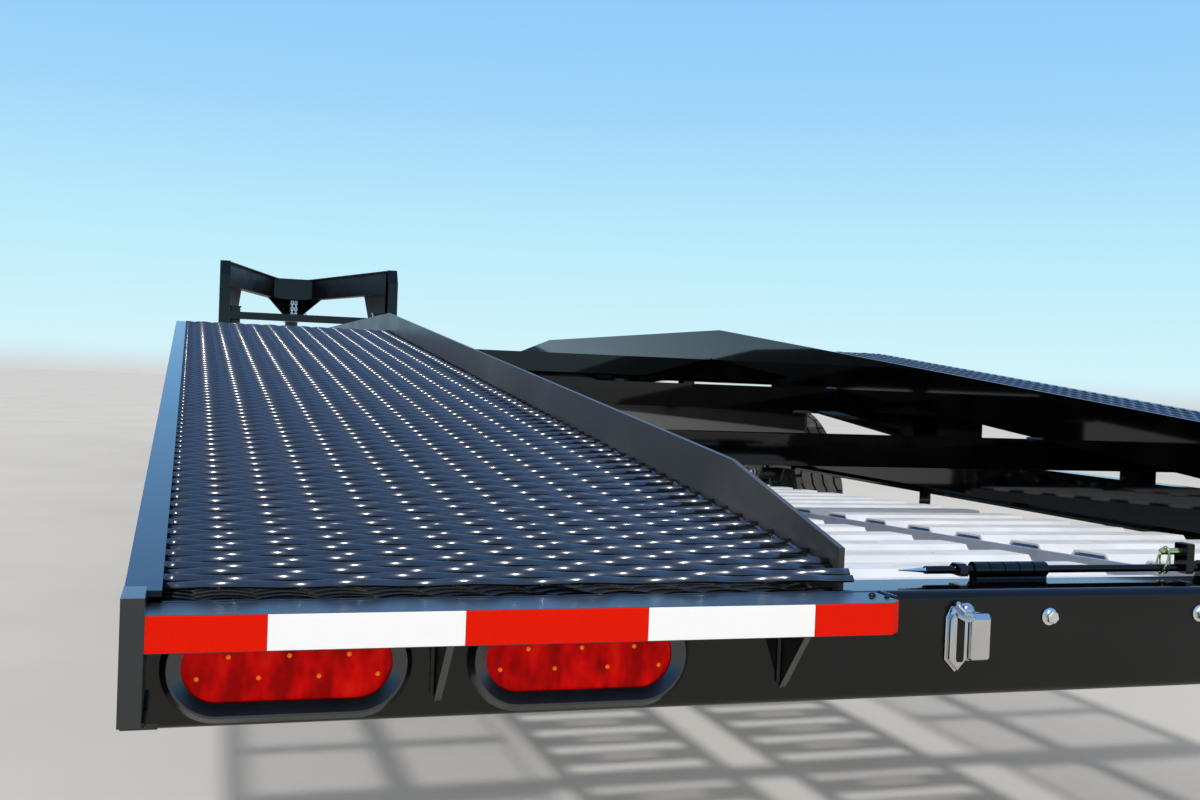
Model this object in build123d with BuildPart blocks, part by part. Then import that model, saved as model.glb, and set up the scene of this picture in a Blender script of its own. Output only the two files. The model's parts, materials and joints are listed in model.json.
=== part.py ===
from build123d import *
from math import asin, degrees, sqrt
import os

os.makedirs("parts", exist_ok=True)

# Sizes are in millimetres. X is to the right, Y forward and Z up from the ground.
# A station is a distance forward of the rear beam's rear face.

# Deck and overall width
deck_width = 2438
runway_width = 650
deck_rear_station = 15
deck_rear_height = 722
crest_station = 3120
crest_height = 1020
hump_front_station = 5350
belly_rear_station = 6500
belly_front_station = 10300
neck_station = 12800
deck_front_height = 1250

# Rear beam and the hook lip on it
beam_depth = 76.2
beam_height = 100
beam_wall = 5
beam_corner = 8
beam_bottom = 611
lip_reach = 55
lip_drop = 28.5
lip_plate = 6
lip_start = 17
lip_mitre = 12
tape_recess = 0.6
end_plate_bottom = 628
end_plate_rise = 13
gusset_plate = 6
gusset_places = (247, 560)
gusset_height = 85

# Tail lamps, plate lamp and plate bolts
lamp_length = 165
lamp_height = 57
lamp_centre_height = 660
lamp_places = (126, 369)
grommet_rim = 16
grommet_crest = 11
grommet_height = 9
grommet_edge = 2.5
grommet_wall = 4
lamp_front = 2
lamp_depth = 30
plate_lamp_place = 748
plate_lamp_width = 42
plate_lamp_bottom = 635
plate_lamp_top = 704
plate_lamp_depth = 30
plate_lamp_base = 3
plate_lamp_point = 14
plate_lamp_lug = 22
plate_bolt_centre = 929
plate_bolt_pitch = 177.8
plate_bolt_height = 685
plate_bolt_hole = 7

# Lower frame
frame_bottom = 607
tail_rail_height = 107
tail_rail_flange = 44
tail_rail_web = 5
tail_rail_thick = 7
i_beam_height = 203
i_beam_flange = 102
i_beam_web = 7
i_beam_thick = 9
i_beam_station = 3000
stringer_station = 1960
stringer_height = 140

# Cross tubes and the runways on them
cross_tube = 63.5
cross_tube_wall = 5
cross_tube_first = 1297
cross_tube_pitch = 940
cross_tube_count = 12
guard_thick = 6
guard_rise = 57
guard_drop = 45
guard_kink_station = 330
guard_end_station = 60
guard_end_rise = 17
rail_height = 127
rail_flange = 28
rail_wall = 5
tread_thick = 6
tread_bar = 18
tread_lanes = 4
rib_size = 38
rib_thick = 5
rib_first = 420
rib_pitch = 406
rib_count = 31
post_width = 50
post_wall = 5
joint_gap = 0.6

# Axles, springs and wheels
axle_first = 3640
tyre_gap = 61
axle_height = 402
axle_radius = 38
spindle_radius = 22
spindle_gap = 0.05
tyre_radius = 402
tyre_width = 235
tyre_side_inset = 50
beam_tyre_gap = 26
rim_radius = 203
spring_width = 76
spring_leaf = 10
spring_leaves = 5
leaf_nip = 0.3
spring_length = 660
spring_arch = 75
spring_seat = 12
eye_radius = 19
bolt_radius = 9
hanger_plate = 8
hanger_gap = 2
hanger_width = 70
hanger_clearance = 13.5
shackle_length = 60
shackle_plate = 6
drum_radius = 165
drum_width = 90
drum_gap = 6
backing_plate = 5
hand_holes = 8
hand_hole_radius = 15
hand_hole_circle = 136

# Neck
upright_depth = 203
upright_corner_drop = 150
upright_corner_set = 100
neck_top = 1950
neck_beam_height = 250
neck_length = 2250
head_width = 560
head_length = 280
neck_plate = 10
cross_bar_size = 76
cross_bar_height = 1390
post_radius = 76
post_drop = 420
brace_reach = 443
brace_drop = 260
brace_thick = 12
knee_reach = 700
knee_foot = 500
knee_drop = 380
coupler_tube_radius = 63
ball_height = 1010
coupler_head_radius = 70
coupler_head_height = 120
ball_radius = 29.6
ball_depth = 62
link_length = 60
link_width = 34
link_thick = 10
link_gap = 0.3
links_per_run = 6
chain_places = (18, 134)
chain_set_back = 112
ear_thick = 8
ear_hole = 9

# Drop-leg jacks
jack_tube = 102
jack_wall = 8
jack_top = 1480
jack_bottom = 560
leg_wall = 6
slide_gap = 0.3
foot_size = 250
foot_thick = 12
jack_gap = 30
jack_inset = 116
jack_overlap = 300
jack_cap = 14
bracket_height = 80
bracket_rises = (250, 650)
leg_hole = 9
leg_hole_pitch = 76
leg_hole_count = 5
gearbox_height = 1250
gearbox_width = 60
gearbox_depth = 90
gearbox_tall = 130
shaft_radius = 12
crank_reach = 110
crank_throw = 230
crank_grip = 120

# Ramps and what holds them
ramp_side_gap = 99.5
ramp_length = 2438
ramp_height = 70
ramp_tip = 60
ramp_hook = 40
ramp_side = 32
ramp_wall = 4
ramp_rear_station = 128
ramp_rear_height = 690
ramp_fall = 0.0393
ramp_inner_gap = 127
rung_pitch = 152.4
rung_first = 70
rung_width = 102
rung_top = 68
rung_rise = 18
rung_sheet = 3
rung_slot = 18
rung_slot_length = 150
carrier_width = 50
carrier_thick = 6
carrier_stations = (600, 1400, 2200)
seat_gap = 0.2

# Keeper over the ramp ends
keeper_rod_radius = 4
keeper_height = 720.5
keeper_forward = 66
keeper_left = 713
keeper_right = 1092
keeper_point = 28
keeper_blade = 5
barrel_radius = 8
barrel_left = 796
barrel_right = 882
barrel_knuckles = 5
barrel_groove = 0.8
barrel_groove_width = 1.5
arm_places = (780, 1054)
arm_thick = 10
arm_width = 20
arm_top = 747
pin_radius = 5
pin_height = 738
pin_reach = 23
keeper_ear = 1078
keeper_ear_thick = 8

# Side marker lamps on the outer rails
marker_radius = 19
marker_flange = 25
marker_proud = 4
marker_drop = 64
marker_amber = (6200, 12500)
marker_red = (420,)

# Worked-out places
half = deck_width / 2
lip_end = runway_width
rail_centre = half - tyre_side_inset - tyre_width - beam_tyre_gap - i_beam_flange / 2
axle_spread = 2 * tyre_radius + tyre_gap
coupler_station = neck_station + upright_depth + neck_length + head_length / 2
front_station = coupler_station + head_length / 2
overall_length = lip_reach + front_station
rear_y = lip_reach - overall_length / 2
beam_top = beam_bottom + beam_height
i_beam_top = frame_bottom + i_beam_height
belly_height = i_beam_top + cross_tube + guard_drop
guard_x = half - runway_width
tread_outer_x = half - rail_flange
ramp_width = guard_x - ramp_side_gap - ramp_inner_gap / 2
SIDES = (("left", -1), ("right", 1))
DECK = [  # station, height of the tread's top
    (deck_rear_station, deck_rear_height),
    (crest_station, crest_height),
    (hump_front_station, crest_height),
    (belly_rear_station, belly_height),
    (belly_front_station, belly_height),
    (neck_station, deck_front_height),
]


def at(station):
    """The Y of a station."""
    return rear_y + station


def deck_height(station):
    """The height of the tread's top at a station, on the straight between two corners."""
    for (s0, z0), (s1, z1) in zip(DECK, DECK[1:]):
        if station <= s1 or s1 == DECK[-1][0]:
            return z0 + (z1 - z0) * (station - s0) / (s1 - s0)


def deck_line(start, end, rise):
    """Points that follow the deck between two stations, rise above it."""
    stations = [start] + [s for s, z in DECK if start < s < end] + [end]
    return [(at(s), deck_height(s) + rise) for s in stations]


def deck_band(start, end, top, bottom):
    """The outline of a strip that follows the deck, seen from the side."""
    return deck_line(start, end, top) + deck_line(start, end, bottom)[::-1]


def deck_sections(start, end):
    """The straight lengths between two stations, each short of its neighbour by the joint gap."""
    corners = [start] + [s for s, z in DECK[1:-1] if start < s < end] + [end]
    trims = [0] + [joint_gap / 2] * (len(corners) - 2) + [0]
    ends = list(zip(corners, trims))
    return [(s0 + t0, s1 - t1) for (s0, t0), (s1, t1) in zip(ends, ends[1:])]


def side_plane(x):
    """A plane across X whose own x runs forward and whose own y runs up."""
    return Plane.YZ.offset(x)


def rear_plane(y):
    """A plane that faces rearward, whose own x is X and whose own y is Z."""
    return Plane.XZ.offset(-y)


def save(piece, name):
    piece.part.label = name
    export_step(piece.part, f"parts/{name}.step")


# Rear beam: a rounded box tube between the outer rails' webs, with a hole for each lamp
beam_half = half - rail_wall
beam_mid_height = beam_bottom + beam_height / 2
lamp_xs = [s * (half - x) for x in lamp_places for s in (-1, 1)]
with BuildPart() as rear_beam:
    with BuildSketch(side_plane(-beam_half)):
        with Locations((at(beam_depth / 2), beam_mid_height)):
            RectangleRounded(beam_depth, beam_height, beam_corner)
            RectangleRounded(beam_depth - 2 * beam_wall, beam_height - 2 * beam_wall,
                             beam_corner - beam_wall, mode=Mode.SUBTRACT)
    extrude(amount=2 * beam_half)
    with BuildSketch(rear_plane(at(0))):
        with Locations(*[(x, lamp_centre_height) for x in lamp_xs]):
            SlotOverall(lamp_length + 2 * grommet_wall, lamp_height + 2 * grommet_wall)
        bolt_mid = plate_bolt_centre - half
        with Locations(*[(bolt_mid + s * plate_bolt_pitch / 2, plate_bolt_height) for s in (-1, 1)]):
            Circle(plate_bolt_hole / 2)
    extrude(amount=-beam_wall - 0.5, mode=Mode.SUBTRACT)
save(rear_beam, "rear_beam")

# Hook lips: a top plate and a turned-down face on two gussets, closed by a bar at the outer end
lip_face = -lip_reach + tape_recess
with BuildPart() as hook_lips:
    for name, side in SIDES:
        inner = side * (half - lip_end)
        outer = side * (half - lip_start)
        with BuildSketch(Plane.XY.offset(beam_top - lip_plate)):
            with BuildLine():
                Polyline((outer, at(0)), (outer, at(lip_face)), (inner + side * lip_mitre, at(lip_face)),
                         (inner, at(lip_face + lip_mitre)), (inner, at(0)), close=True)
            make_face()
        extrude(amount=lip_plate)
        with BuildSketch(side_plane(min(outer, inner + side * lip_mitre))):
            with Locations((at(lip_face + lip_plate / 2), beam_top - lip_drop / 2)):
                Rectangle(lip_plate, lip_drop)
        extrude(amount=abs(outer - inner) - lip_mitre)
        for place in gusset_places:
            with BuildSketch(side_plane(side * (half - place) - gusset_plate / 2)):
                with BuildLine():
                    Polyline((at(0), beam_top - lip_plate), (at(lip_face + lip_plate), beam_top - lip_plate),
                             (at(lip_face + lip_plate), beam_top - lip_drop),
                             (at(0), beam_top - gusset_height), close=True)
                make_face()
            extrude(amount=gusset_plate)
        with BuildSketch(side_plane(min(outer, side * half))):
            with BuildLine():
                Polyline((at(0), end_plate_bottom), (at(-lip_reach), end_plate_bottom),
                         (at(-lip_reach), beam_top + end_plate_rise), (at(0), beam_top + end_plate_rise),
                         close=True)
            make_face()
        extrude(amount=lip_start)
save(hook_lips, "hook_lips")

# Tail lamps: an oval lens set back in a rubber grommet with a raised crest, two a side
lamp_end = (lamp_length - lamp_height) / 2
lens_edge = lamp_height / 2
CREST = [  # distance out from the lens's edge, distance rearward of the beam's face
    (0, -lamp_depth), (0, grommet_edge), (grommet_crest - 2, grommet_height),
    (grommet_crest, grommet_height), (grommet_rim, grommet_edge), (grommet_rim, 0),
    (grommet_wall, 0), (grommet_wall, -lamp_depth),
]
crest_outline = [(lens_edge + out, rise) for out, rise in CREST]
with BuildPart() as lamp_grommets:
    for x in lamp_xs:
        for turn in (-1, 1):
            end_centre = (x + turn * lamp_end, at(0), lamp_centre_height)
            start_centre = (x - lamp_end, at(0), lamp_centre_height)
            with BuildSketch(Plane(origin=end_centre, x_dir=(0, 0, 1), z_dir=(1, 0, 0))):
                with BuildLine():
                    Polyline(*crest_outline, close=True)
                make_face()
            revolve(axis=Axis(end_centre, (0, turn, 0)), revolution_arc=180)
            with BuildSketch(Plane(origin=start_centre, x_dir=(0, 0, turn), z_dir=(turn, 0, 0))):
                with BuildLine():
                    Polyline(*crest_outline, close=True)
                make_face()
            extrude(amount=turn * 2 * lamp_end)
save(lamp_grommets, "lamp_grommets")

with BuildPart() as tail_lamps:
    with BuildSketch(rear_plane(at(lamp_depth))):
        with Locations(*[(x, lamp_centre_height) for x in lamp_xs]):
            SlotOverall(lamp_length, lamp_height)
    extrude(amount=lamp_depth + lamp_front)
    chamfer(tail_lamps.faces().group_by(Axis.Y)[0].edges(), length=1.5)
save(tail_lamps, "tail_lamps")

# Plate lamp: a pointed base plate with a hood on its outer part and a flat lug beside it
lamp_x0 = plate_lamp_place - half - plate_lamp_width / 2
lamp_shoulder = plate_lamp_bottom + plate_lamp_point
hood_width = plate_lamp_width - plate_lamp_lug + 6
lamp_x1 = lamp_x0 + plate_lamp_width
hood_x1 = lamp_x0 + hood_width
lug_top = plate_lamp_top - 14
with BuildPart() as plate_lamp:
    with BuildSketch(rear_plane(at(0))):
        with BuildLine():
            Polyline((lamp_x0, lamp_shoulder), (lamp_x0 + hood_width / 2, plate_lamp_bottom),
                     (hood_x1, lamp_shoulder - 6), (lamp_x1, lamp_shoulder - 6), (lamp_x1, plate_lamp_top - 12),
                     (hood_x1, plate_lamp_top - 12), (hood_x1 - 6, plate_lamp_top),
                     (lamp_x0 + 6, plate_lamp_top), (lamp_x0, plate_lamp_top - 12), close=True)
        make_face()
    extrude(amount=plate_lamp_base)
    with BuildSketch(rear_plane(at(0))):
        with BuildLine():
            Polyline((lamp_x0 + 2, lamp_shoulder), (lamp_x0 + hood_width / 2, plate_lamp_bottom + 2),
                     (hood_x1 - 2, lamp_shoulder), (hood_x1 - 2, plate_lamp_top - 16),
                     (hood_x1 - 7, plate_lamp_top - 4), (lamp_x0 + 7, plate_lamp_top - 4),
                     (lamp_x0 + 2, plate_lamp_top - 16), close=True)
        make_face()
    extrude(amount=plate_lamp_depth)
    chamfer(plate_lamp.faces().sort_by(Axis.Y)[0].edges().sort_by(Axis.Z)[-1], length=plate_lamp_depth * 0.5)
    with BuildSketch(rear_plane(at(0))):
        with Locations((lamp_x1 - plate_lamp_lug / 2, (lamp_shoulder + lug_top) / 2)):
            RectangleRounded(plate_lamp_lug, lug_top - lamp_shoulder, 4)
    extrude(amount=plate_lamp_depth * 0.7)
save(plate_lamp, "plate_lamp")

# Tail rails: channels open towards the middle, from the rear beam to the main beams
for name, side in SIDES:
    web_x = side * (rail_centre + tail_rail_web / 2)
    with BuildPart() as tail_rail:
        with BuildSketch(rear_plane(at(beam_depth))):
            with BuildLine():
                inner = web_x - side * tail_rail_flange
                web = web_x - side * tail_rail_web
                top = frame_bottom + tail_rail_height
                Polyline((web_x, frame_bottom), (web_x, top), (inner, top), (inner, top - tail_rail_thick),
                         (web, top - tail_rail_thick), (web, frame_bottom + tail_rail_thick),
                         (inner, frame_bottom + tail_rail_thick), (inner, frame_bottom), close=True)
            make_face()
        extrude(amount=-(i_beam_station - beam_depth))
    save(tail_rail, f"tail_rail_{name}")

# Main beams: I-sections from the axles to the neck
for name, side in SIDES:
    mid = frame_bottom + i_beam_height / 2
    with BuildPart() as main_beam:
        with BuildSketch(rear_plane(at(i_beam_station))):
            with Locations((side * rail_centre, mid)):
                Rectangle(i_beam_web, i_beam_height)
            with Locations((side * rail_centre, frame_bottom + i_beam_thick / 2),
                           (side * rail_centre, i_beam_top - i_beam_thick / 2)):
                Rectangle(i_beam_flange, i_beam_thick)
        extrude(amount=-(neck_station - i_beam_station))
    save(main_beam, f"main_beam_{name}")

# Cross tubes: square tubes from web to web under the guards, on posts where the deck stands high
tube_stations = [cross_tube_first + n * cross_tube_pitch for n in range(cross_tube_count)]
tube_stations.append(neck_station - cross_tube - joint_gap)


def tube_top(station):
    """The height of a cross tube's top, under the lower of the guard's two ends over it."""
    return min(deck_height(station), deck_height(station + cross_tube)) - guard_drop


with BuildPart() as cross_tubes:
    for station in tube_stations:
        with BuildSketch(side_plane(-beam_half)):
            with Locations((at(station + cross_tube / 2), tube_top(station) - cross_tube / 2)):
                hollow = cross_tube - 2 * cross_tube_wall
                Rectangle(cross_tube, cross_tube)
                Rectangle(hollow, hollow, mode=Mode.SUBTRACT)
        extrude(amount=2 * beam_half)
save(cross_tubes, "cross_tubes")

with BuildPart() as frame_posts:
    for station in tube_stations:
        on_beam = station >= i_beam_station
        foot = i_beam_top if on_beam else frame_bottom + tail_rail_height
        height = tube_top(station) - cross_tube - foot
        centre = rail_centre if on_beam else rail_centre + tail_rail_web / 2 - tail_rail_flange / 2
        width = post_width if on_beam else tail_rail_flange
        if height > 0.5:
            with BuildSketch(Plane.XY.offset(foot)):
                with Locations((-centre, at(station + cross_tube / 2)), (centre, at(station + cross_tube / 2))):
                    Rectangle(width, cross_tube)
                    Rectangle(width - 2 * post_wall, cross_tube - 2 * post_wall, mode=Mode.SUBTRACT)
            extrude(amount=height)
save(frame_posts, "frame_posts")

# Stringers: sloped channels that carry the ribs above the tail rails, in lengths between the cross tubes
rib_drop = tread_thick + rib_size + rib_size * (crest_height - deck_rear_height) / (crest_station - deck_rear_station)
stringer_ends = [stringer_station] + [s for s in tube_stations if stringer_station < s <= crest_station + cross_tube]
stringer_lengths = [(start + (cross_tube if n else 0) + joint_gap, end - joint_gap)
                    for n, (start, end) in enumerate(zip(stringer_ends, stringer_ends[1:]))]
with BuildPart() as deck_stringers:
    for name, side in SIDES:
        outer = side * (rail_centre + tail_rail_web / 2)
        for depth, low, high in ((tail_rail_web, rib_drop, rib_drop + stringer_height),
                                 (tail_rail_flange, rib_drop, rib_drop + tail_rail_thick),
                                 (tail_rail_flange, rib_drop + stringer_height - tail_rail_thick,
                                  rib_drop + stringer_height)):
            with BuildSketch(side_plane(min(outer, outer - side * depth))):
                for start, end in stringer_lengths:
                    with BuildLine():
                        Polyline(*deck_band(start, end, -low, -high), close=True)
                    make_face()
            extrude(amount=depth)
save(deck_stringers, "deck_stringers")

# Runways: guard plates, outer rails, ribs and treads follow the deck line in straight lengths
rear_section, *front_sections = deck_sections(0, neck_station)
for name, side in SIDES:
    with BuildPart() as inner_rail:
        with BuildSketch(side_plane(min(side * guard_x, side * (guard_x + guard_thick)))):
            with BuildLine():
                crest = rear_section[1]
                Polyline((at(guard_end_station), deck_height(guard_end_station) + guard_end_rise),
                         *deck_line(guard_kink_station, crest, guard_rise),
                         *deck_line(beam_depth, crest, -guard_drop)[::-1],
                         (at(beam_depth), beam_top), (at(guard_end_station), beam_top), close=True)
            make_face()
            for start, end in front_sections:
                with BuildLine():
                    Polyline(*deck_band(start, end, guard_rise, -guard_drop), close=True)
                make_face()
        extrude(amount=guard_thick)
    save(inner_rail, f"inner_rail_{name}")

for name, side in SIDES:
    with BuildPart() as outer_rail:
        for depth, top, bottom in ((rail_wall, 0, rail_height), (rail_flange, 0, rail_wall),
                                   (rail_flange, rail_height - rail_wall, rail_height)):
            with BuildSketch(side_plane(min(side * half, side * (half - depth)))):
                for start, end in deck_sections(0, neck_station):
                    with BuildLine():
                        Polyline(*deck_band(start, end, -top, -bottom), close=True)
                    make_face()
            extrude(amount=depth)
    save(outer_rail, f"outer_rail_{name}")

rib_inner = guard_x + guard_thick
rib_stations = [s for s in [rib_first + n * rib_pitch for n in range(rib_count)]
                if all(s + rib_size < t - 1 or s > t + cross_tube + 1 for t in tube_stations)]
with BuildPart() as runway_ribs:
    for station in rib_stations:
        low = min(deck_height(station), deck_height(station + rib_size)) - tread_thick
        for name, side in SIDES:
            with BuildSketch(side_plane(min(side * rib_inner, side * tread_outer_x))):
                with BuildLine():
                    y = at(station)
                    Polyline((y, low), (y, low - rib_size), (y + rib_thick, low - rib_size),
                             (y + rib_thick, low - rib_thick), (y + rib_size, low - rib_thick),
                             (y + rib_size, low), close=True)
                make_face()
            extrude(amount=tread_outer_x - rib_inner)
save(runway_ribs, "runway_ribs")

# Treads: plates opened in a plain grid that stands for expanded metal, with a bar over each support
supports = sorted([(s, s + rib_size) for s in rib_stations] + [(s, s + cross_tube) for s in tube_stations]
                  + [(s, s) for s, z in DECK])
bays = [(back[1] + tread_bar, front[0] - tread_bar) for back, front in zip(supports, supports[1:])]
bays = [(start, end) for start, end in bays if end - start > tread_bar]
lane_pitch = (tread_outer_x - rib_inner - tread_bar) / tread_lanes
for name, side in SIDES:
    with BuildPart() as tread:
        with BuildSketch(side_plane(min(side * rib_inner, side * tread_outer_x))):
            for start, end in deck_sections(deck_rear_station, neck_station):
                with BuildLine():
                    Polyline(*deck_band(start, end, 0, -tread_thick), close=True)
                make_face()
        extrude(amount=tread_outer_x - rib_inner)
        with BuildSketch(Plane.XY.offset(deck_rear_height - tread_thick)):
            for start, end in bays:
                with Locations((side * (rib_inner + tread_outer_x) / 2, at((start + end) / 2))):
                    with GridLocations(lane_pitch, 1, tread_lanes, 1):
                        Rectangle(lane_pitch - tread_bar, end - start)
        extrude(amount=deck_front_height - deck_rear_height + tread_thick, mode=Mode.SUBTRACT)
    save(tread, f"tread_{name}")

# Axles: a tube with a spindle and a brake backing plate at each end
axle_stations = (axle_first, axle_first + axle_spread)
tyre_centre = half - tyre_side_inset - tyre_width / 2
hub_inner = tyre_centre - 40
hub_outer = tyre_centre + 60
drum_inner = hub_inner - drum_width
with BuildPart() as axles:
    for station in axle_stations:
        for radius, reach in ((axle_radius, drum_inner - drum_gap), (spindle_radius, hub_outer - 20)):
            with BuildSketch(side_plane(-reach)):
                with Locations((at(station), axle_height)):
                    Circle(radius)
            extrude(amount=2 * reach)
        for name, side in SIDES:
            outer = side * (drum_inner - drum_gap)
            with BuildSketch(side_plane(min(outer, outer - side * backing_plate))):
                with Locations((at(station), axle_height)):
                    Circle(drum_radius)
            extrude(amount=backing_plate)
save(axles, "axles")

# Leaf springs: nested arcs over each axle, the top leaf rolled into an eye at both ends
pack_bottom = axle_height + axle_radius + spring_seat
pack_height = spring_leaf + (spring_leaves - 1) * (spring_leaf - leaf_nip)
leaf_top_radius = (spring_length ** 2 / 4 + spring_arch ** 2) / (2 * spring_arch)
leaf_centre_height = pack_bottom + pack_height + leaf_top_radius
eye_height = pack_bottom + pack_height + spring_arch - spring_leaf / 2
spring_xs = [s * rail_centre for s in (-1, 1)]
with BuildPart() as leaf_springs:
    for station in axle_stations:
        for x in spring_xs:
            for leaf in range(spring_leaves):
                inner = leaf_top_radius + leaf * (spring_leaf - leaf_nip)
                reach = (spring_length / 2) * (1 - 0.17 * leaf)
                angle = degrees(asin(reach / inner))
                with BuildSketch(side_plane(x - spring_width / 2)):
                    with BuildLine():
                        centre = (at(station), leaf_centre_height)
                        low = CenterArc(centre, inner + spring_leaf, 270 - angle, 2 * angle)
                        top = CenterArc(centre, inner, 270 - angle, 2 * angle)
                        Line(low @ 0, top @ 0)
                        Line(low @ 1, top @ 1)
                    make_face()
                extrude(amount=spring_width)
            with BuildSketch(side_plane(x - spring_width / 2)):
                with Locations(*[(at(station) + s * spring_length / 2, eye_height) for s in (-1, 1)]):
                    Circle(eye_radius)
            extrude(amount=spring_width)
            with BuildSketch(side_plane(x - spring_width / 2)):
                with Locations(*[(at(station) + s * spring_length / 2, eye_height) for s in (-1, 1)]):
                    Circle(bolt_radius + spindle_gap)
            extrude(amount=spring_width, mode=Mode.SUBTRACT)
            with BuildSketch(Plane.XY.offset(axle_height + axle_radius * 0.6)):
                with Locations((x, at(station))):
                    Rectangle(spring_width, 2 * axle_radius * 0.9)
            extrude(amount=pack_bottom - axle_height - axle_radius * 0.6)
            with BuildSketch(side_plane(x - spring_width / 2)):
                with Locations((at(station), axle_height)):
                    Circle(axle_radius)
            extrude(amount=spring_width, mode=Mode.SUBTRACT)
save(leaf_springs, "leaf_springs")

# Hangers under the main beams, and the equalizers between the two axles' springs
front_eye = axle_stations[1] + spring_length / 2
rear_eye = axle_stations[0] - spring_length / 2
middle = (axle_stations[0] + axle_stations[1]) / 2
equalizer_height = eye_height - 30
hanger_x = spring_width / 2 + hanger_gap
middle_width = (axle_spread - spring_length) / 2 - eye_radius - hanger_clearance
HANGERS = [  # station, pin height, half width at the top
    (rear_eye, eye_height, hanger_width),
    (middle, equalizer_height, middle_width),
    (front_eye, eye_height, hanger_width),
]
with BuildPart() as spring_hangers:
    for x in spring_xs:
        for station, height, width in HANGERS:
            for s in (-1, 1):
                with BuildSketch(side_plane(x + s * hanger_x - (hanger_plate if s < 0 else 0))):
                    with BuildLine():
                        y = at(station)
                        Polyline((y - width, frame_bottom), (y + width, frame_bottom),
                                 (y + width / 2, height - eye_radius - 6),
                                 (y - width / 2, height - eye_radius - 6), close=True)
                    make_face()
                extrude(amount=hanger_plate)
            with BuildSketch(side_plane(x - hanger_x - hanger_plate)):
                with Locations((at(station), height)):
                    Circle(bolt_radius)
            extrude(amount=2 * (hanger_x + hanger_plate))
save(spring_hangers, "spring_hangers")

inner_eyes = (axle_stations[0] + spring_length / 2, axle_stations[1] - spring_length / 2)
link_height = eye_height - shackle_length
with BuildPart() as equalizers:
    for x in spring_xs:
        with BuildSketch(side_plane(x - spring_width / 2)):
            with BuildLine():
                y0, y1 = at(inner_eyes[0]), at(inner_eyes[1])
                Polyline((y0 - eye_radius, link_height - eye_radius),
                         (y1 + eye_radius, link_height - eye_radius),
                         (y1 + eye_radius, link_height + eye_radius),
                         (at(middle) + eye_radius, equalizer_height + eye_radius),
                         (at(middle) - eye_radius, equalizer_height + eye_radius),
                         (y0 - eye_radius, link_height + eye_radius), close=True)
            make_face()
            with Locations((at(middle), equalizer_height), (y0, link_height), (y1, link_height)):
                Circle(bolt_radius + spindle_gap, mode=Mode.SUBTRACT)
        extrude(amount=spring_width)
save(equalizers, "equalizers")

with BuildPart() as shackles:
    for x in spring_xs:
        for eye in inner_eyes:
            for s in (-1, 1):
                with BuildSketch(side_plane(x + s * hanger_x - (shackle_plate if s < 0 else 0))):
                    with Locations((at(eye), eye_height - shackle_length / 2)):
                        SlotCenterToCenter(shackle_length, 2 * eye_radius, rotation=90)
                extrude(amount=shackle_plate)
            with BuildSketch(side_plane(x - hanger_x - shackle_plate)):
                with Locations((at(eye), eye_height), (at(eye), link_height)):
                    Circle(bolt_radius)
            extrude(amount=2 * (hanger_x + shackle_plate))
save(shackles, "shackles")

# Wheels: a disc and barrel on a hub and brake drum, in a tyre
WHEELS = [(f"{end}_{name}", station, side) for end, station in zip(("rear", "front"), axle_stations)
          for name, side in SIDES]
bead_radius = rim_radius - 8
bore_radius = spindle_radius + spindle_gap


def wheel_plane(station, side):
    """A radial plane of a wheel: its own x runs outward from the tyre's centre, its own y up."""
    return Plane(origin=(side * tyre_centre, at(station), axle_height),
                 x_dir=(side, 0, 0), z_dir=(0, -side, 0))


for name, station, side in WHEELS:
    hub_in, hub_out = hub_inner - tyre_centre, hub_outer - tyre_centre
    drum_in = drum_inner - tyre_centre
    with BuildPart() as wheel:
        with BuildSketch(wheel_plane(station, side)):
            with BuildLine():  # hub and its cap
                Polyline((hub_in - 10, bore_radius), (hub_in - 10, 50), (hub_out - 8, 50), (hub_out + 10, 40),
                         (hub_out + 10, 0), (hub_out - 15, 0), (hub_out - 15, bore_radius), close=True)
            make_face()
            with BuildLine():  # disc
                Polyline((14, 45), (14, 120), (42, 152), (38, 176), (28, 176), (32, 156), (6, 126), (6, 45),
                         close=True)
            make_face()
            with BuildLine():  # barrel with its two flanges
                flange = rim_radius + 8
                half_barrel = [(66, bead_radius), (84, bead_radius), (92, flange), (98, flange),
                               (98, flange - 6), (90, bead_radius - 8), (72, 171)]
                outer_side = [(60, 178)] + half_barrel
                Polyline(*outer_side, *[(-x, r) for x, r in reversed(outer_side)], close=True)
            make_face()
            with BuildLine():  # brake drum
                Polyline((drum_in, drum_radius), (hub_in, drum_radius), (hub_in, 45), (hub_in - 10, 45),
                         (hub_in - 10, drum_radius - 12), (drum_in, drum_radius - 12), close=True)
            make_face()
        revolve(axis=Axis((0, at(station), axle_height), (1, 0, 0)), revolution_arc=360)
        with BuildSketch(side_plane(side * tyre_centre)):
            with Locations((at(station), axle_height)):
                with PolarLocations(hand_hole_circle, hand_holes):
                    Circle(hand_hole_radius)
        extrude(amount=side * hub_outer - side * tyre_centre, mode=Mode.SUBTRACT)
    save(wheel, f"wheel_{name}")

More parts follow.
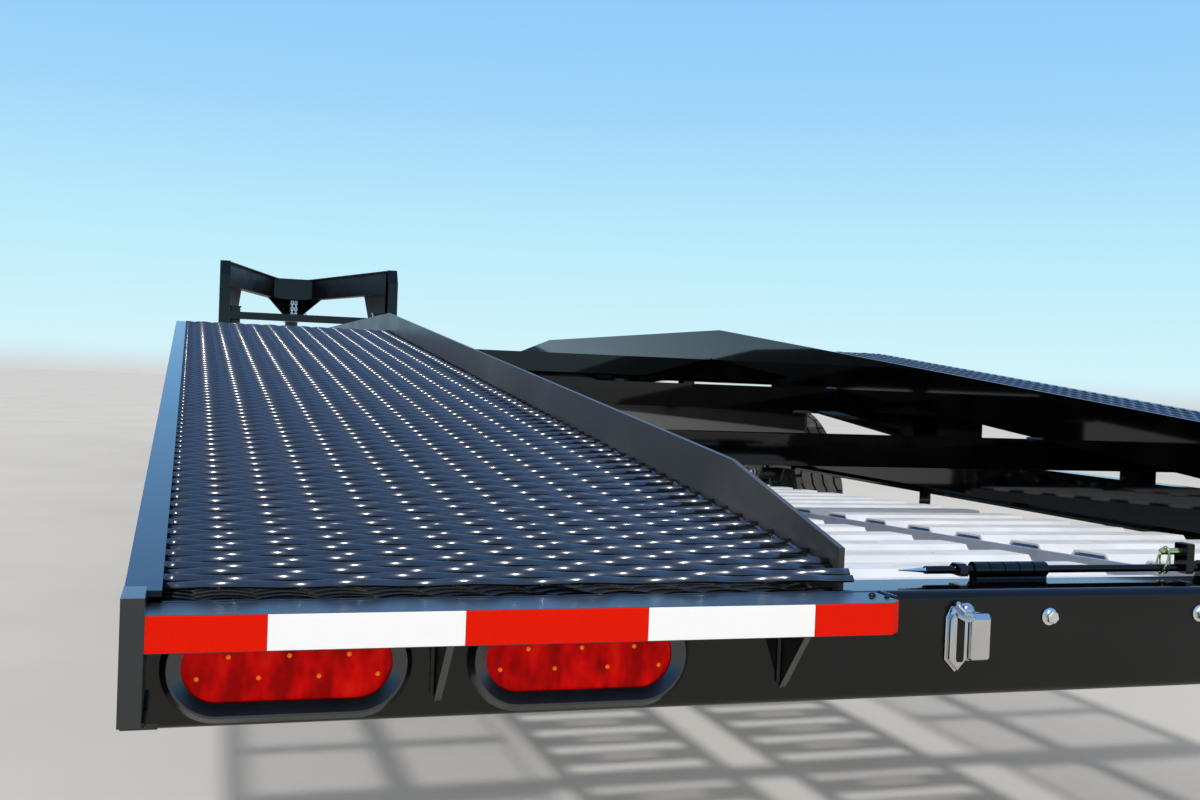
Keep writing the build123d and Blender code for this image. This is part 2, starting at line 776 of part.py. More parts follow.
for name, station, side in WHEELS:
    with BuildPart() as tyre:
        with BuildSketch(wheel_plane(station, side)):
            with BuildLine():
                w = tyre_width / 2
                widest = (rim_radius + tyre_radius) / 2
                Line((-82, bead_radius + 0.3), (-92, rim_radius + 20))
                ThreePointArc((-92, rim_radius + 20), (-w, widest), (-w + 16, tyre_radius - 14))
                Polyline((-w + 16, tyre_radius - 14), (-w + 26, tyre_radius - 2), (-60, tyre_radius),
                         (60, tyre_radius), (w - 26, tyre_radius - 2), (w - 16, tyre_radius - 14))
                ThreePointArc((w - 16, tyre_radius - 14), (w, widest), (92, rim_radius + 20))
                Polyline((92, rim_radius + 20), (82, bead_radius + 0.3), (-82, bead_radius + 0.3))
            make_face()
        revolve(axis=Axis((0, at(station), axle_height), (1, 0, 0)), revolution_arc=360)
    save(tyre, f"tyre_{name}")

# Neck: uprights at the front of the main beams, and beams that close in on the coupler head
upright_front = neck_station + upright_depth
neck_bottom = neck_top - neck_beam_height
head_rear = upright_front + neck_length
corner_height = neck_top - upright_corner_drop
with BuildPart() as neck_uprights:
    for x in spring_xs:
        for width, mode in ((i_beam_flange / 2, Mode.ADD), (0, Mode.SUBTRACT)):
            for s in (-1, 1):
                inner = 0 if width else i_beam_web / 2
                with BuildSketch(side_plane(x + s * inner)):
                    with BuildLine():
                        rear, front = at(neck_station), at(upright_front)
                        Polyline((rear, frame_bottom), (rear, corner_height),
                                 (rear + upright_corner_set, neck_top), (front, neck_top),
                                 (front, frame_bottom), close=True)
                    make_face()
                    if not width:
                        offset(amount=-i_beam_thick, kind=Kind.INTERSECTION, mode=Mode.REPLACE)
                extrude(amount=s * (i_beam_flange / 2 - inner), mode=mode)
save(neck_uprights, "neck_uprights")

for name, side in SIDES:
    rear_mid = side * rail_centre
    front_mid = side * (head_width / 2 - i_beam_flange / 2)
    with BuildPart() as neck_beam:
        for width, low, height in ((i_beam_flange, neck_bottom, neck_plate),
                                   (i_beam_web, neck_bottom, neck_beam_height),
                                   (i_beam_flange, neck_top - neck_plate, neck_plate)):
            with BuildSketch(Plane.XY.offset(low)):
                with BuildLine():
                    Polyline((rear_mid - width / 2, at(upright_front)), (front_mid - width / 2, at(head_rear)),
                             (front_mid + width / 2, at(head_rear)), (rear_mid + width / 2, at(upright_front)),
                             close=True)
                make_face()
            extrude(amount=height)
    save(neck_beam, f"neck_beam_{name}")

with BuildPart() as neck_cross_bars:
    bar_half = rail_centre - i_beam_web / 2
    with BuildSketch(side_plane(-bar_half)):
        with Locations((at(neck_station + upright_depth / 2), cross_bar_height)):
            Rectangle(cross_bar_size, cross_bar_size)
            Rectangle(cross_bar_size - 2 * cross_tube_wall, cross_bar_size - 2 * cross_tube_wall,
                      mode=Mode.SUBTRACT)
    extrude(amount=2 * bar_half)
save(neck_cross_bars, "neck_cross_bars")

with BuildPart() as knee_gussets:
    for name, side in SIDES:
        inward = side * (head_width / 2 - i_beam_flange / 2 - rail_centre)
        knee_plane = Plane(origin=(side * rail_centre, at(upright_front), neck_bottom),
                           x_dir=(inward, neck_length, 0), z_dir=(neck_length, -inward, 0))
        rear = neck_plate / 2 * abs(inward) / neck_length
        with BuildSketch(knee_plane):
            with BuildLine():
                Polyline((rear, 0), (knee_reach, 0), (knee_foot, -knee_drop), (rear, -knee_drop), close=True)
            make_face()
        extrude(amount=neck_plate / 2, both=True)
save(knee_gussets, "knee_gussets")

neck_slope = (rail_centre + i_beam_flange / 2 - head_width / 2) / neck_length
brace_spread = head_width / 2 - i_beam_flange / 2 + neck_slope * (brace_reach - head_length / 2)
brace_length = sqrt(brace_spread ** 2 + brace_reach ** 2)
brace_root = post_radius - 4
run_offset = link_width / 2 + link_thick / 2
chain_y = at(coupler_station) - chain_set_back
eye_centre = neck_bottom - 2 * ear_hole
with BuildPart() as neck_head:
    with BuildSketch(Plane.XY.offset(neck_bottom)):
        with Locations((0, at(coupler_station))):
            Rectangle(head_width, head_length)
            Rectangle(head_width - 2 * neck_plate, head_length - 2 * neck_plate, mode=Mode.SUBTRACT)
    extrude(amount=neck_beam_height)
    with BuildSketch(Plane.XY.offset(neck_bottom), Plane.XY.offset(neck_top - neck_plate)):
        with Locations((0, at(coupler_station))):
            Rectangle(head_width, head_length)
    extrude(amount=neck_plate)
    with BuildSketch(Plane.XY.offset(neck_bottom - post_drop)):
        with Locations((0, at(coupler_station))):
            Circle(post_radius)
    extrude(amount=post_drop + neck_beam_height)
    with BuildSketch(Plane.XY.offset(neck_bottom - post_drop)):
        with Locations((0, at(coupler_station))):
            Circle(coupler_tube_radius)
    extrude(amount=post_drop + neck_beam_height, mode=Mode.SUBTRACT)
    for name, side in SIDES:  # braces from the post out to the undersides of the neck beams
        brace_plane = Plane(origin=(0, at(coupler_station), neck_bottom), x_dir=(side * brace_spread, -brace_reach, 0),
                            z_dir=(-brace_reach, -side * brace_spread, 0))
        with BuildSketch(brace_plane):
            with BuildLine():
                Polyline((brace_root, 0), (brace_length, 0), (brace_root, -brace_drop), close=True)
            make_face()
        extrude(amount=brace_thick / 2, both=True)
    for x in [place + s * run_offset for place in chain_places for s in (-1, 1)]:
        with BuildSketch(side_plane(x - ear_thick / 2)):
            with Locations((chain_y, eye_centre)):
                Rectangle(4 * ear_hole, 4 * ear_hole)
                Circle(ear_hole, mode=Mode.SUBTRACT)
        extrude(amount=ear_thick)
save(neck_head, "neck_head")

with BuildPart() as ball_coupler:
    with BuildSketch(Plane.XY.offset(ball_height)):
        with Locations((0, at(coupler_station))):
            Circle(coupler_head_radius)
    extrude(amount=coupler_head_height)
    with BuildSketch(Plane.XY.offset(ball_height + coupler_head_height)):
        with Locations((0, at(coupler_station))):
            Circle(coupler_tube_radius)
    extrude(amount=neck_bottom - ball_height - coupler_head_height + neck_beam_height / 2)
    with BuildSketch(Plane.XY.offset(ball_height)):
        with Locations((0, at(coupler_station))):
            Circle(ball_radius)
    extrude(amount=ball_depth, mode=Mode.SUBTRACT)
save(ball_coupler, "ball_coupler")

# Safety chains: each hangs in a loop from the two eyes under the head, every other link turned
link_inner = link_width / 2 - link_thick
bar_round = link_inner - sqrt(link_inner ** 2 - link_thick ** 2 / 4)
link_pitch = link_length - 2 * link_thick - 2 * bar_round - link_gap
eye_seat = eye_centre - sqrt(ear_hole ** 2 - link_thick ** 2 / 4)
first_link = eye_seat + bar_round + link_gap + link_thick - link_length / 2
bottom_link = 2 * run_offset + link_thick + link_width + 2 * link_gap


def link_outline(length, width):
    """An oval link, upright on the sketch's plane."""
    SlotOverall(length, width, rotation=90)
    SlotOverall(length - 2 * link_thick, width - 2 * link_thick, rotation=90, mode=Mode.SUBTRACT)


with BuildPart() as safety_chains:
    for place in chain_places:
        for n in range(links_per_run):
            height = first_link - n * link_pitch
            for s in (-1, 1):
                x = place + s * run_offset
                flat = n % 2 == 0
                link_plane = rear_plane(chain_y + link_thick / 2) if flat else side_plane(x - link_thick / 2)
                with BuildSketch(link_plane):
                    with Locations((x, height) if flat else (chain_y, height)):
                        link_outline(link_length, link_width)
                extrude(amount=link_thick)
        with BuildSketch(rear_plane(chain_y + link_thick / 2)):
            last_seat = height - link_length / 2 + link_thick + bar_round
            with Locations((place, last_seat + link_gap + link_thick - link_width / 2)):
                SlotOverall(bottom_link, link_width)
                SlotOverall(bottom_link - 2 * link_thick, link_width - 2 * link_thick, mode=Mode.SUBTRACT)
        extrude(amount=link_thick)
save(safety_chains, "safety_chains")

# Drop-leg jacks in front of the uprights and inboard of them
jack_xs = [s * (rail_centre - jack_inset) for s in (-1, 1)]
jack_y = at(upright_front + jack_gap + jack_tube / 2)
jack_hollow = jack_tube - 2 * jack_wall
leg_tube = jack_hollow - 2 * slide_gap
bracket_width = jack_inset + jack_tube / 2 + i_beam_flange / 2
with BuildPart() as jack_tubes:
    with BuildSketch(Plane.XY.offset(jack_bottom)):
        with Locations(*[(x, jack_y) for x in jack_xs]):
            RectangleRounded(jack_tube, jack_tube, 10)
            RectangleRounded(jack_hollow, jack_hollow, 4, mode=Mode.SUBTRACT)
    extrude(amount=jack_top - jack_bottom)
    with BuildSketch(Plane.XY.offset(jack_top)):
        with Locations(*[(x, jack_y) for x in jack_xs]):
            RectangleRounded(jack_tube + 20, jack_tube + 20, 12)
    extrude(amount=jack_cap)
    for rise in bracket_rises:
        with BuildSketch(Plane.XY.offset(jack_bottom + rise)):
            for side in (-1, 1):
                middle_x = side * (rail_centre + i_beam_flange / 2 - bracket_width / 2)
                with Locations((middle_x, jack_y - jack_tube / 2 - jack_gap / 2)):
                    Rectangle(bracket_width, jack_gap)
        extrude(amount=bracket_height)
save(jack_tubes, "jack_tubes")

with BuildPart() as jack_legs:
    with BuildSketch(Plane.XY):
        with Locations(*[(x, jack_y) for x in jack_xs]):
            RectangleRounded(foot_size, foot_size, 20)
    extrude(amount=foot_thick)
    with BuildSketch(Plane.XY.offset(foot_thick)):
        with Locations(*[(x, jack_y) for x in jack_xs]):
            RectangleRounded(leg_tube, leg_tube, 6)
            RectangleRounded(leg_tube - 2 * leg_wall, leg_tube - 2 * leg_wall, 3, mode=Mode.SUBTRACT)
    extrude(amount=jack_top - jack_overlap - foot_thick)
    for x in jack_xs:
        with BuildSketch(side_plane(x - leg_tube)):
            with Locations(*[(jack_y, jack_bottom - (n + 1) * leg_hole_pitch) for n in range(leg_hole_count)]):
                Circle(leg_hole)
        extrude(amount=2 * leg_tube, mode=Mode.SUBTRACT)
save(jack_legs, "jack_legs")

# Jack gears: a box outboard of each tube, a shaft from box to box, and a crank at the left end
box_inner = rail_centre - jack_inset + jack_tube / 2
crank_x = -(box_inner + gearbox_width + crank_reach)
with BuildPart() as jack_gears:
    for side in (-1, 1):
        with BuildSketch(side_plane(min(side * box_inner, side * (box_inner + gearbox_width)))):
            with Locations((jack_y, gearbox_height)):
                RectangleRounded(gearbox_depth, gearbox_tall, 16)
        extrude(amount=gearbox_width)
    with BuildSketch(side_plane(-(box_inner - jack_tube))):
        with Locations((jack_y, gearbox_height)):
            Circle(shaft_radius)
    extrude(amount=2 * (box_inner - jack_tube))
    with BuildSketch(side_plane(crank_x)):
        with Locations((jack_y, gearbox_height)):
            Circle(shaft_radius)
    extrude(amount=crank_reach)
    with BuildSketch(side_plane(crank_x)):
        with Locations((jack_y, gearbox_height - crank_throw / 2)):
            SlotOverall(crank_throw + 2 * shaft_radius, 2 * shaft_radius, rotation=90)
    extrude(amount=-shaft_radius)
    with BuildSketch(side_plane(crank_x - shaft_radius)):
        with Locations((jack_y, gearbox_height - crank_throw)):
            Circle(shaft_radius)
    extrude(amount=-crank_grip)
save(jack_gears, "jack_gears")

# Ramps: two ladder ramps that slope down forward between the runways. Hat-shaped rungs lie across two
# channels, with a tongue at the rear end and a hook at the front
ramp_mid = ramp_inner_gap / 2 + ramp_width / 2
rung_count = int((ramp_length - rung_first - rung_width / 2) / rung_pitch) + 1
for name, side in SIDES:
    ramp_plane = Plane(origin=(side * ramp_mid, at(ramp_rear_station), ramp_rear_height),
                       x_dir=(1, 0, 0), z_dir=(0, ramp_fall, 1))
    across_plane = Plane(origin=ramp_plane.origin, x_dir=(1, 0, 0), z_dir=-ramp_plane.y_dir)
    along_plane = Plane(origin=ramp_plane.origin, x_dir=ramp_plane.y_dir, z_dir=(1, 0, 0))
    with BuildPart() as ramp:
        for s in (-1, 1):
            with BuildSketch(across_plane):
                with BuildLine():
                    web = s * ramp_width / 2
                    flange = s * (ramp_width / 2 - ramp_side)
                    thin = s * (ramp_width / 2 - ramp_wall)
                    Polyline((web, -rung_rise), (web, -ramp_height), (flange, -ramp_height),
                             (flange, -ramp_height + ramp_wall), (thin, -ramp_height + ramp_wall),
                             (thin, -rung_rise - ramp_wall), (flange, -rung_rise - ramp_wall),
                             (flange, -rung_rise), close=True)
                make_face()
            extrude(amount=-ramp_length)
        with BuildSketch(along_plane.offset(-ramp_width / 2)):
            for n in range(rung_count):
                with BuildLine():
                    centre, foot, crown = rung_first + n * rung_pitch, rung_width / 2, rung_top / 2
                    Polyline((centre - foot, -rung_rise), (centre - crown, 0), (centre + crown, 0),
                             (centre + foot, -rung_rise), (centre + foot - 2 * rung_sheet, -rung_rise),
                             (centre + crown - rung_sheet, -rung_sheet),
                             (centre - crown + rung_sheet, -rung_sheet),
                             (centre - foot + 2 * rung_sheet, -rung_rise), close=True)
                make_face()
            with BuildLine():  # the tongue over the rear end
                Polyline((0, -rung_rise), (-ramp_tip / 4, -2 * rung_rise), (-ramp_tip / 4, -ramp_height),
                         (ramp_wall - ramp_tip / 4, -ramp_height), (ramp_wall - ramp_tip / 4, -2 * rung_rise),
                         (ramp_wall, -rung_rise - ramp_wall), (ramp_tip, -rung_rise - ramp_wall),
                         (ramp_tip, -rung_rise), close=True)
            make_face()
            with BuildLine():  # the hook over the front end
                y = ramp_length
                Polyline((y - ramp_tip, -rung_rise), (y + ramp_hook, -rung_rise), (y + ramp_hook, -ramp_height),
                         (y + ramp_hook - 2 * ramp_wall, -ramp_height),
                         (y + ramp_hook - 2 * ramp_wall, -rung_rise - ramp_wall),
                         (y - ramp_tip, -rung_rise - ramp_wall), close=True)
            make_face()
        extrude(amount=ramp_width)
        with BuildSketch(ramp_plane):
            with Locations(*[(0, rung_first + n * rung_pitch) for n in range(rung_count)]):
                SlotOverall(rung_slot_length, rung_slot)
        extrude(amount=-2 * rung_sheet, mode=Mode.SUBTRACT)
    save(ramp, f"ramp_{name}")

carrier_half = rail_centre + tail_rail_web / 2
ramp_drop = ramp_height * sqrt(1 + ramp_fall ** 2)


def carrier_seat(station):
    """The height of a carrier's top, just under the ramps over it."""
    front = station + carrier_width - ramp_rear_station
    return ramp_rear_height - ramp_fall * front - ramp_drop - seat_gap


with BuildPart() as ramp_carriers:
    for station in carrier_stations:
        with BuildSketch(rear_plane(at(station))):
            with Locations((0, carrier_seat(station) - carrier_thick / 2)):
                Rectangle(2 * carrier_half, carrier_thick)
        extrude(amount=-carrier_width)
save(ramp_carriers, "ramp_carriers")

with BuildPart() as carrier_straps:
    for station in carrier_stations:
        with BuildSketch(Plane.XY.offset(carrier_seat(station))):
            for side in (-1, 1):
                with Locations((side * (carrier_half - carrier_thick / 2), at(station + carrier_width / 2))):
                    Rectangle(carrier_thick, carrier_width)
        extrude(amount=frame_bottom - carrier_seat(station))
save(carrier_straps, "carrier_straps")

# Keepers: a rod in a knuckled barrel with two arms, one over each ramp, and a pointed outer end
KEEPERS = [("left", 1), ("right", -1)]
knuckle = (barrel_right - barrel_left) / barrel_knuckles


def keeper_x(place, turn):
    """The X of a place measured from the trailer's own side, mirrored for the right keeper."""
    return turn * (place - half)


def keeper_plane(start, end, turn):
    """A plane across X at whichever of two places lies further left, and the distance between them."""
    x0, x1 = sorted((keeper_x(start, turn), keeper_x(end, turn)))
    return side_plane(x0), x1 - x0


keeper_y = at(keeper_forward)
with BuildPart() as keeper_barrels:
    for name, turn in KEEPERS:
        BARREL_PARTS = [(barrel_left, barrel_right, barrel_radius - barrel_groove),
                        (keeper_ear - keeper_ear_thick / 2, keeper_ear + keeper_ear_thick / 2, barrel_radius)]
        for n in range(barrel_knuckles):
            start = barrel_left + n * knuckle
            BARREL_PARTS.append((start, start + knuckle - barrel_groove_width, barrel_radius))
        for start, end, radius in BARREL_PARTS:
            plane, length = keeper_plane(start, end, turn)
            with BuildSketch(plane):
                with Locations((keeper_y, keeper_height)):
                    Circle(radius)
                with Locations((keeper_y, (keeper_height + beam_top) / 2)):
                    Rectangle(radius, keeper_height - beam_top)
            extrude(amount=length)
        plane, length = keeper_plane(barrel_left, keeper_ear + keeper_ear_thick, turn)
        with BuildSketch(plane):
            with Locations((keeper_y, keeper_height)):
                Circle(keeper_rod_radius + spindle_gap)
        extrude(amount=length, mode=Mode.SUBTRACT)
save(keeper_barrels, "keeper_barrels")

for name, turn in KEEPERS:
    with BuildPart() as keeper:
        plane, length = keeper_plane(keeper_left + keeper_point, keeper_right, turn)
        with BuildSketch(plane):
            with Locations((keeper_y, keeper_height)):
                Circle(keeper_rod_radius)
        extrude(amount=length)
        with BuildSketch(Plane.XY.offset(keeper_height - keeper_blade / 2)):
            with BuildLine():
                tip, root, shoulder = [keeper_x(x, turn) for x in
                                       (keeper_left, keeper_left + keeper_point, arm_places[0])]
                rear, front = keeper_y - keeper_rod_radius, keeper_y + keeper_rod_radius
                Polyline((tip, keeper_y), (root, front), (shoulder, front), (shoulder, rear), (root, rear),
                         close=True)
            make_face()
        extrude(amount=keeper_blade)
        for place in arm_places:
            plane, length = keeper_plane(place - arm_thick / 2, place + arm_thick / 2, turn)
            with BuildSketch(plane):
                with BuildLine():
                    rear, front, low = keeper_y - arm_width * 0.6, keeper_y + arm_width * 0.4, keeper_height - 5
                    Polyline((rear, low), (front, low), (front, arm_top), (rear, arm_top), close=True)
                make_face()
            extrude(amount=length)
        plane, length = keeper_plane(arm_places[1] - arm_thick / 2 - pin_reach, arm_places[1], turn)
        with BuildSketch(plane):
            with Locations((keeper_y - arm_width * 0.1, pin_height)):
                Circle(pin_radius)
        extrude(amount=length)
    save(keeper, f"keeper_{name}")

# Side marker lamps: round lenses in flanges on the outer rails' webs, amber forward and red at the rear
for lamp, stations in (("marker_lamps", marker_amber), ("rear_markers", marker_red)):
    with BuildPart() as markers:
        for name, side in SIDES:
            for radius, reach in ((marker_flange, marker_proud / 2), (marker_radius, marker_proud)):
                with BuildSketch(side_plane(min(side * half, side * (half + reach)))):
                    with Locations(*[(at(x), deck_height(x) - marker_drop) for x in stations]):
                        Circle(radius)
                extrude(amount=reach)
    save(markers, lamp)
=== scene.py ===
import json
import random
from math import atan, ceil, copysign, cos, exp, hypot, pi, radians, sin, sqrt

import bmesh
import bpy
from mathutils import Matrix, Vector


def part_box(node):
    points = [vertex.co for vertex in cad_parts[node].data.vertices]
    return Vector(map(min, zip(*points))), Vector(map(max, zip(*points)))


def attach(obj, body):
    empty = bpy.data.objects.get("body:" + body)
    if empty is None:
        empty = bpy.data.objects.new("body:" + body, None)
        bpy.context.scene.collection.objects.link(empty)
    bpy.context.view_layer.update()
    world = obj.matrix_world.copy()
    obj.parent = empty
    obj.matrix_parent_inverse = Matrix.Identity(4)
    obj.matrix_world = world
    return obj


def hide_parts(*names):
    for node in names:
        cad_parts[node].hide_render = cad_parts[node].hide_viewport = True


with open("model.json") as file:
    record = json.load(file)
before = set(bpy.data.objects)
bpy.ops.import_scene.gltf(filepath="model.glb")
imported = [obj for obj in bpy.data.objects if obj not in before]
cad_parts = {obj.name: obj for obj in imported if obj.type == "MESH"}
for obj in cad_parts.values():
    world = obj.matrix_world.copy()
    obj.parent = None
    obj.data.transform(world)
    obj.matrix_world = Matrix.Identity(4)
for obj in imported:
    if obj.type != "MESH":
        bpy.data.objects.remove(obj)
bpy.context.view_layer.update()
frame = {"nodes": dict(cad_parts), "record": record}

NODES = frame["nodes"]
random.seed(7)

# X is right, Y forward and Z up from the ground, in metres. Profiles, outlines and places are in millimetres: a
# place is how far in from its side, its station forward of the rear beam's rear face, and its height.
BEAM_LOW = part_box("rear_beam")[0]
REAR_Y = BEAM_LOW[1]
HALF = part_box("outer_rail_right")[1][0]
SIDES = (("left", -1), ("right", 1))
RIGHT, FORWARD, UP = Vector((1, 0, 0)), Vector((0, 1, 0)), Vector((0, 0, 1))

# Camera, fitted to the photograph
CAMERA_PLACE = (0.043 - HALF, REAR_Y - 1.0583, BEAM_LOW[2] + 0.288)
YAW, PITCH, ROLL = radians(17.558), radians(1.0187), radians(-2.2123)
CAMERA_FAR = 200
FOCAL_PIXELS = 1299.6
PHOTO_WIDTH = 1200
SENSOR = 36.0


def make_camera():
    """The photograph's camera, looking forward along the left runway."""
    forward = Vector((sin(YAW) * cos(PITCH), cos(YAW) * cos(PITCH), -sin(PITCH)))
    level_right = Vector((cos(YAW), -sin(YAW), 0))
    level_down = forward.cross(level_right)
    right = cos(ROLL) * level_right + sin(ROLL) * level_down
    up = forward.cross(right) * -1
    data = bpy.data.cameras.new("camera")
    data.sensor_width = SENSOR
    data.lens = SENSOR * FOCAL_PIXELS / PHOTO_WIDTH
    data.clip_end = CAMERA_FAR
    camera = bpy.data.objects.new("camera", data)
    turned = Matrix((right, up, -forward)).transposed().to_4x4()
    camera.matrix_world = Matrix.Translation(CAMERA_PLACE) @ turned
    bpy.context.collection.objects.link(camera)
    bpy.context.scene.camera = camera


# Materials


def grey(value):
    return (value, value, value)


def new_material(name, color, roughness, metallic=0.0, specular=0.5):
    """A Principled material, its node tree and its shader's inputs."""
    material = bpy.data.materials.new(name)
    material.use_nodes = True
    inputs = material.node_tree.nodes["Principled BSDF"].inputs
    inputs["Base Color"].default_value = (*color, 1)
    inputs["Roughness"].default_value = roughness
    inputs["Metallic"].default_value = metallic
    inputs["Specular IOR Level"].default_value = specular
    return material, material.node_tree, inputs


def add_node(tree, kind, **inputs):
    """A node with its inputs linked to other nodes' outputs or set to constants."""
    node = tree.nodes.new("ShaderNode" + kind)
    for name, value in inputs.items():
        if isinstance(value, bpy.types.NodeSocket):
            tree.links.new(value, node.inputs[name])
        else:
            node.inputs[name].default_value = value
    return node


def object_space(tree):
    return add_node(tree, "TexCoord").outputs["Object"]


def add_noise(tree, scale, detail, stretch=None):
    """A noise texture's factor in object space; stretch scales its axes, as run marks need."""
    space = object_space(tree)
    if stretch:
        space = add_node(tree, "Mapping", Vector=space, Scale=stretch).outputs["Vector"]
    return add_node(tree, "TexNoise", Vector=space, Scale=scale, Detail=detail).outputs["Fac"]


def add_ramp(tree, source, stops, target):
    """A colour ramp from a factor to an input; each stop is (place, colour)."""
    ramp = add_node(tree, "ValToRGB", Fac=source)
    elements = ramp.color_ramp.elements
    for element, (place, color) in zip(elements, stops[:2]):
        element.position, element.color = place, (*color, 1)
    for place, color in stops[2:]:
        elements.new(place).color = (*color, 1)
    tree.links.new(ramp.outputs["Color"], target)


def add_bump(tree, inputs, source, strength, distance):
    """Relief over a surface from a texture's factor; distance is its depth in metres."""
    bump = add_node(tree, "Bump", Height=source, Strength=strength, Distance=distance)
    tree.links.new(bump.outputs["Normal"], inputs["Normal"])


def black_paint(name, base, dust, roughness, specular,
                coat=0.0, coat_ior=1.5, coat_roughness=0.05, peel_size=220.0):
    """Black enamel: a little orange peel, and thin pale dust in patches; on the left guard's paler copy the tone
    and the dust are partly painted sheen.
    """
    material, tree, inputs = new_material(name, grey(base), roughness, specular=specular)
    inputs["Coat Weight"].default_value = coat
    inputs["Coat Roughness"].default_value = coat_roughness
    inputs["Coat IOR"].default_value = coat_ior
    patches = add_noise(tree, scale=4.0, detail=6.0)
    dusty = (base + dust, base + dust * 0.93, base + dust * 0.82)
    add_ramp(tree, patches, [(0.5, grey(base)), (0.85, dusty)], inputs["Base Color"])
    add_ramp(tree, patches, [(0.45, grey(roughness)), (0.85, grey(roughness + 0.16))], inputs["Roughness"])
    add_bump(tree, inputs, add_noise(tree, peel_size, detail=1.0), strength=0.05, distance=0.0005)
    return material


def bright_metal(name, color, roughness, stretch, scale, spread, metallic=1.0):
    """Bare or plated metal with run marks along one axis and a soft change of tone."""
    material, tree, inputs = new_material(name, color, roughness, metallic=metallic)
    marks = add_noise(tree, scale, 4.0, stretch)
    add_ramp(tree, marks, [(0.3, grey(roughness - spread)), (0.75, grey(roughness + spread))],
             inputs["Roughness"])
    dull = tuple(c * 0.85 for c in color)
    add_ramp(tree, add_noise(tree, scale=14.0, detail=5.0), [(0.3, dull), (0.65, color)], inputs["Base Color"])
    add_bump(tree, inputs, marks, strength=0.12, distance=0.0004)
    return material


def plain_rubber(name, color, roughness, scale, specular=0.5):
    """Rubber or dust on it, with a grain that wears paler."""
    material, tree, inputs = new_material(name, color, roughness, specular=specular)
    grain = add_noise(tree, scale, detail=5.0)
    worn = tuple(c * 1.8 + 0.004 for c in color)
    add_ramp(tree, grain, [(0.35, color), (0.8, worn)], inputs["Base Color"])
    add_bump(tree, inputs, grain, strength=0.2, distance=0.0006)
    return material


def lens_material(name, deep, bright, painted_glint_tone):
    """A moulded lens: blotches and upright streaks of brighter colour, which are painted reflections from inside
    it, with a faint painted glow that keeps it bright in shade.
    """
    material, tree, inputs = new_material(name, deep, 0.14, specular=0.06)
    # The emission is a painted glow, and the streaks' bright and hottest tones are painted reflections.
    inputs["Emission Color"].default_value = (*bright, 1)
    inputs["Emission Strength"].default_value = 0.12
    streaks = add_noise(tree, scale=58.0, detail=2.0, stretch=(1.0, 1.0, 0.42))
    add_ramp(tree, streaks, [(0.38, deep), (0.6, bright), (0.78, painted_glint_tone)], inputs["Base Color"])
    add_bump(tree, inputs, add_noise(tree, scale=220.0, detail=1.0), strength=0.2, distance=0.0006)
    return material


def tape_material(name, color, glow):
    """Retroreflective tape: a fine honeycomb, made brighter than its surroundings by a painted glow that stands
    in for the light it sends back.
    """
    material, tree, inputs = new_material(name, color, 0.45, specular=0.05)
    # The emission is painted light: a glow that stands in for the light the tape sends back, and on the LED
    # chips for their bright points.
    inputs["Emission Color"].default_value = (*color, 1)
    inputs["Emission Strength"].default_value = glow
    cells = add_node(tree, "TexVoronoi", Vector=object_space(tree), Scale=320.0)
    cells.feature = "DISTANCE_TO_EDGE"
    border = tuple(c * 0.955 for c in color)
    add_ramp(tree, cells.outputs["Distance"], [(0.02, border), (0.12, color)], inputs["Base Color"])
    add_bump(tree, inputs, cells.outputs["Distance"], strength=0.05, distance=0.0001)
    return material


# Paints: tone, dust, roughness and specular, then the coat's weight, IOR and roughness, and the peel's scale
PAINT = black_paint("gloss_black_paint", 0.001, 0.005, 0.35, 0.0, 1.0, 1.43, 0.04, 260.0)
RAIL_PAINT = black_paint("rail_black_paint", 0.001, 0.005, 0.35, 0.0, 1.0, 1.62, 0.04, 260.0)
NECK_PAINT = black_paint("neck_black_paint", 0.004, 0.008, 0.42, 0.22)
LIP_PAINT = black_paint("lip_black_paint", 0.007, 0.012, 0.4, 0.2, 1.0, 1.6, 0.28, 200.0)
# A paler copy for the left guard only: its raised tone and dust are partly real dust and partly painted sheen of
# the light on that face.
LEFT_GUARD_DUST_AND_SHEEN_PAINT = black_paint("satin_black_paint_dust_and_painted_sheen", 0.052, 0.12, 0.34, 0.4)
TREAD_PAINT = black_paint("tread_black_paint", 0.003, 0.006, 0.3, 0.3, 1.0, 1.78, 0.17, 180.0)
GEAR_PAINT = black_paint("running_gear_paint", 0.008, 0.03, 0.26, 0.4)
DARK_PLASTIC = black_paint("lamp_window", 0.006, 0.004, 0.2, 0.3)

# Metals: colour and roughness, then the run marks' stretch and scale, and how far they change the roughness
ALUMINIUM = bright_metal("ramp_aluminium", (0.97, 0.97, 0.965), 0.36, (60, 2, 60), 3.0, 0.06, 0.12)
# The rails' webs: the aluminium darkened and tinted blue, as painted shade and painted sky reflection.
SHADED_WEB_ALUMINIUM = bright_metal("ramp_web_aluminium_painted_shade", (0.62, 0.66, 0.74), 0.4, (2, 60, 60), 3.0, 0.05, 0.6)
# The rungs' end caps: aluminium coloured blue, a painted reflection of the sky.
SKY_TINTED_CAP_ALUMINIUM = bright_metal("ramp_cap_aluminium_painted_sky", (0.4, 0.56, 0.86), 0.25, (2, 60, 60), 3.0, 0.05, 0.55)
ZINC = bright_metal("zinc_plate", (0.78, 0.775, 0.75), 0.24, (8, 8, 8), 8.0, 0.07)
YELLOW_ZINC = bright_metal("yellow_zinc", (0.72, 0.68, 0.28), 0.24, (8, 8, 8), 8.0, 0.05)
CHROME = bright_metal("chrome", (0.66, 0.655, 0.64), 0.15, (4, 4, 4), 6.0, 0.04)
WHEEL_PAINT = bright_metal("wheel_silver", (0.6, 0.61, 0.63), 0.34, (8, 8, 8), 10.0, 0.06, 0.7)

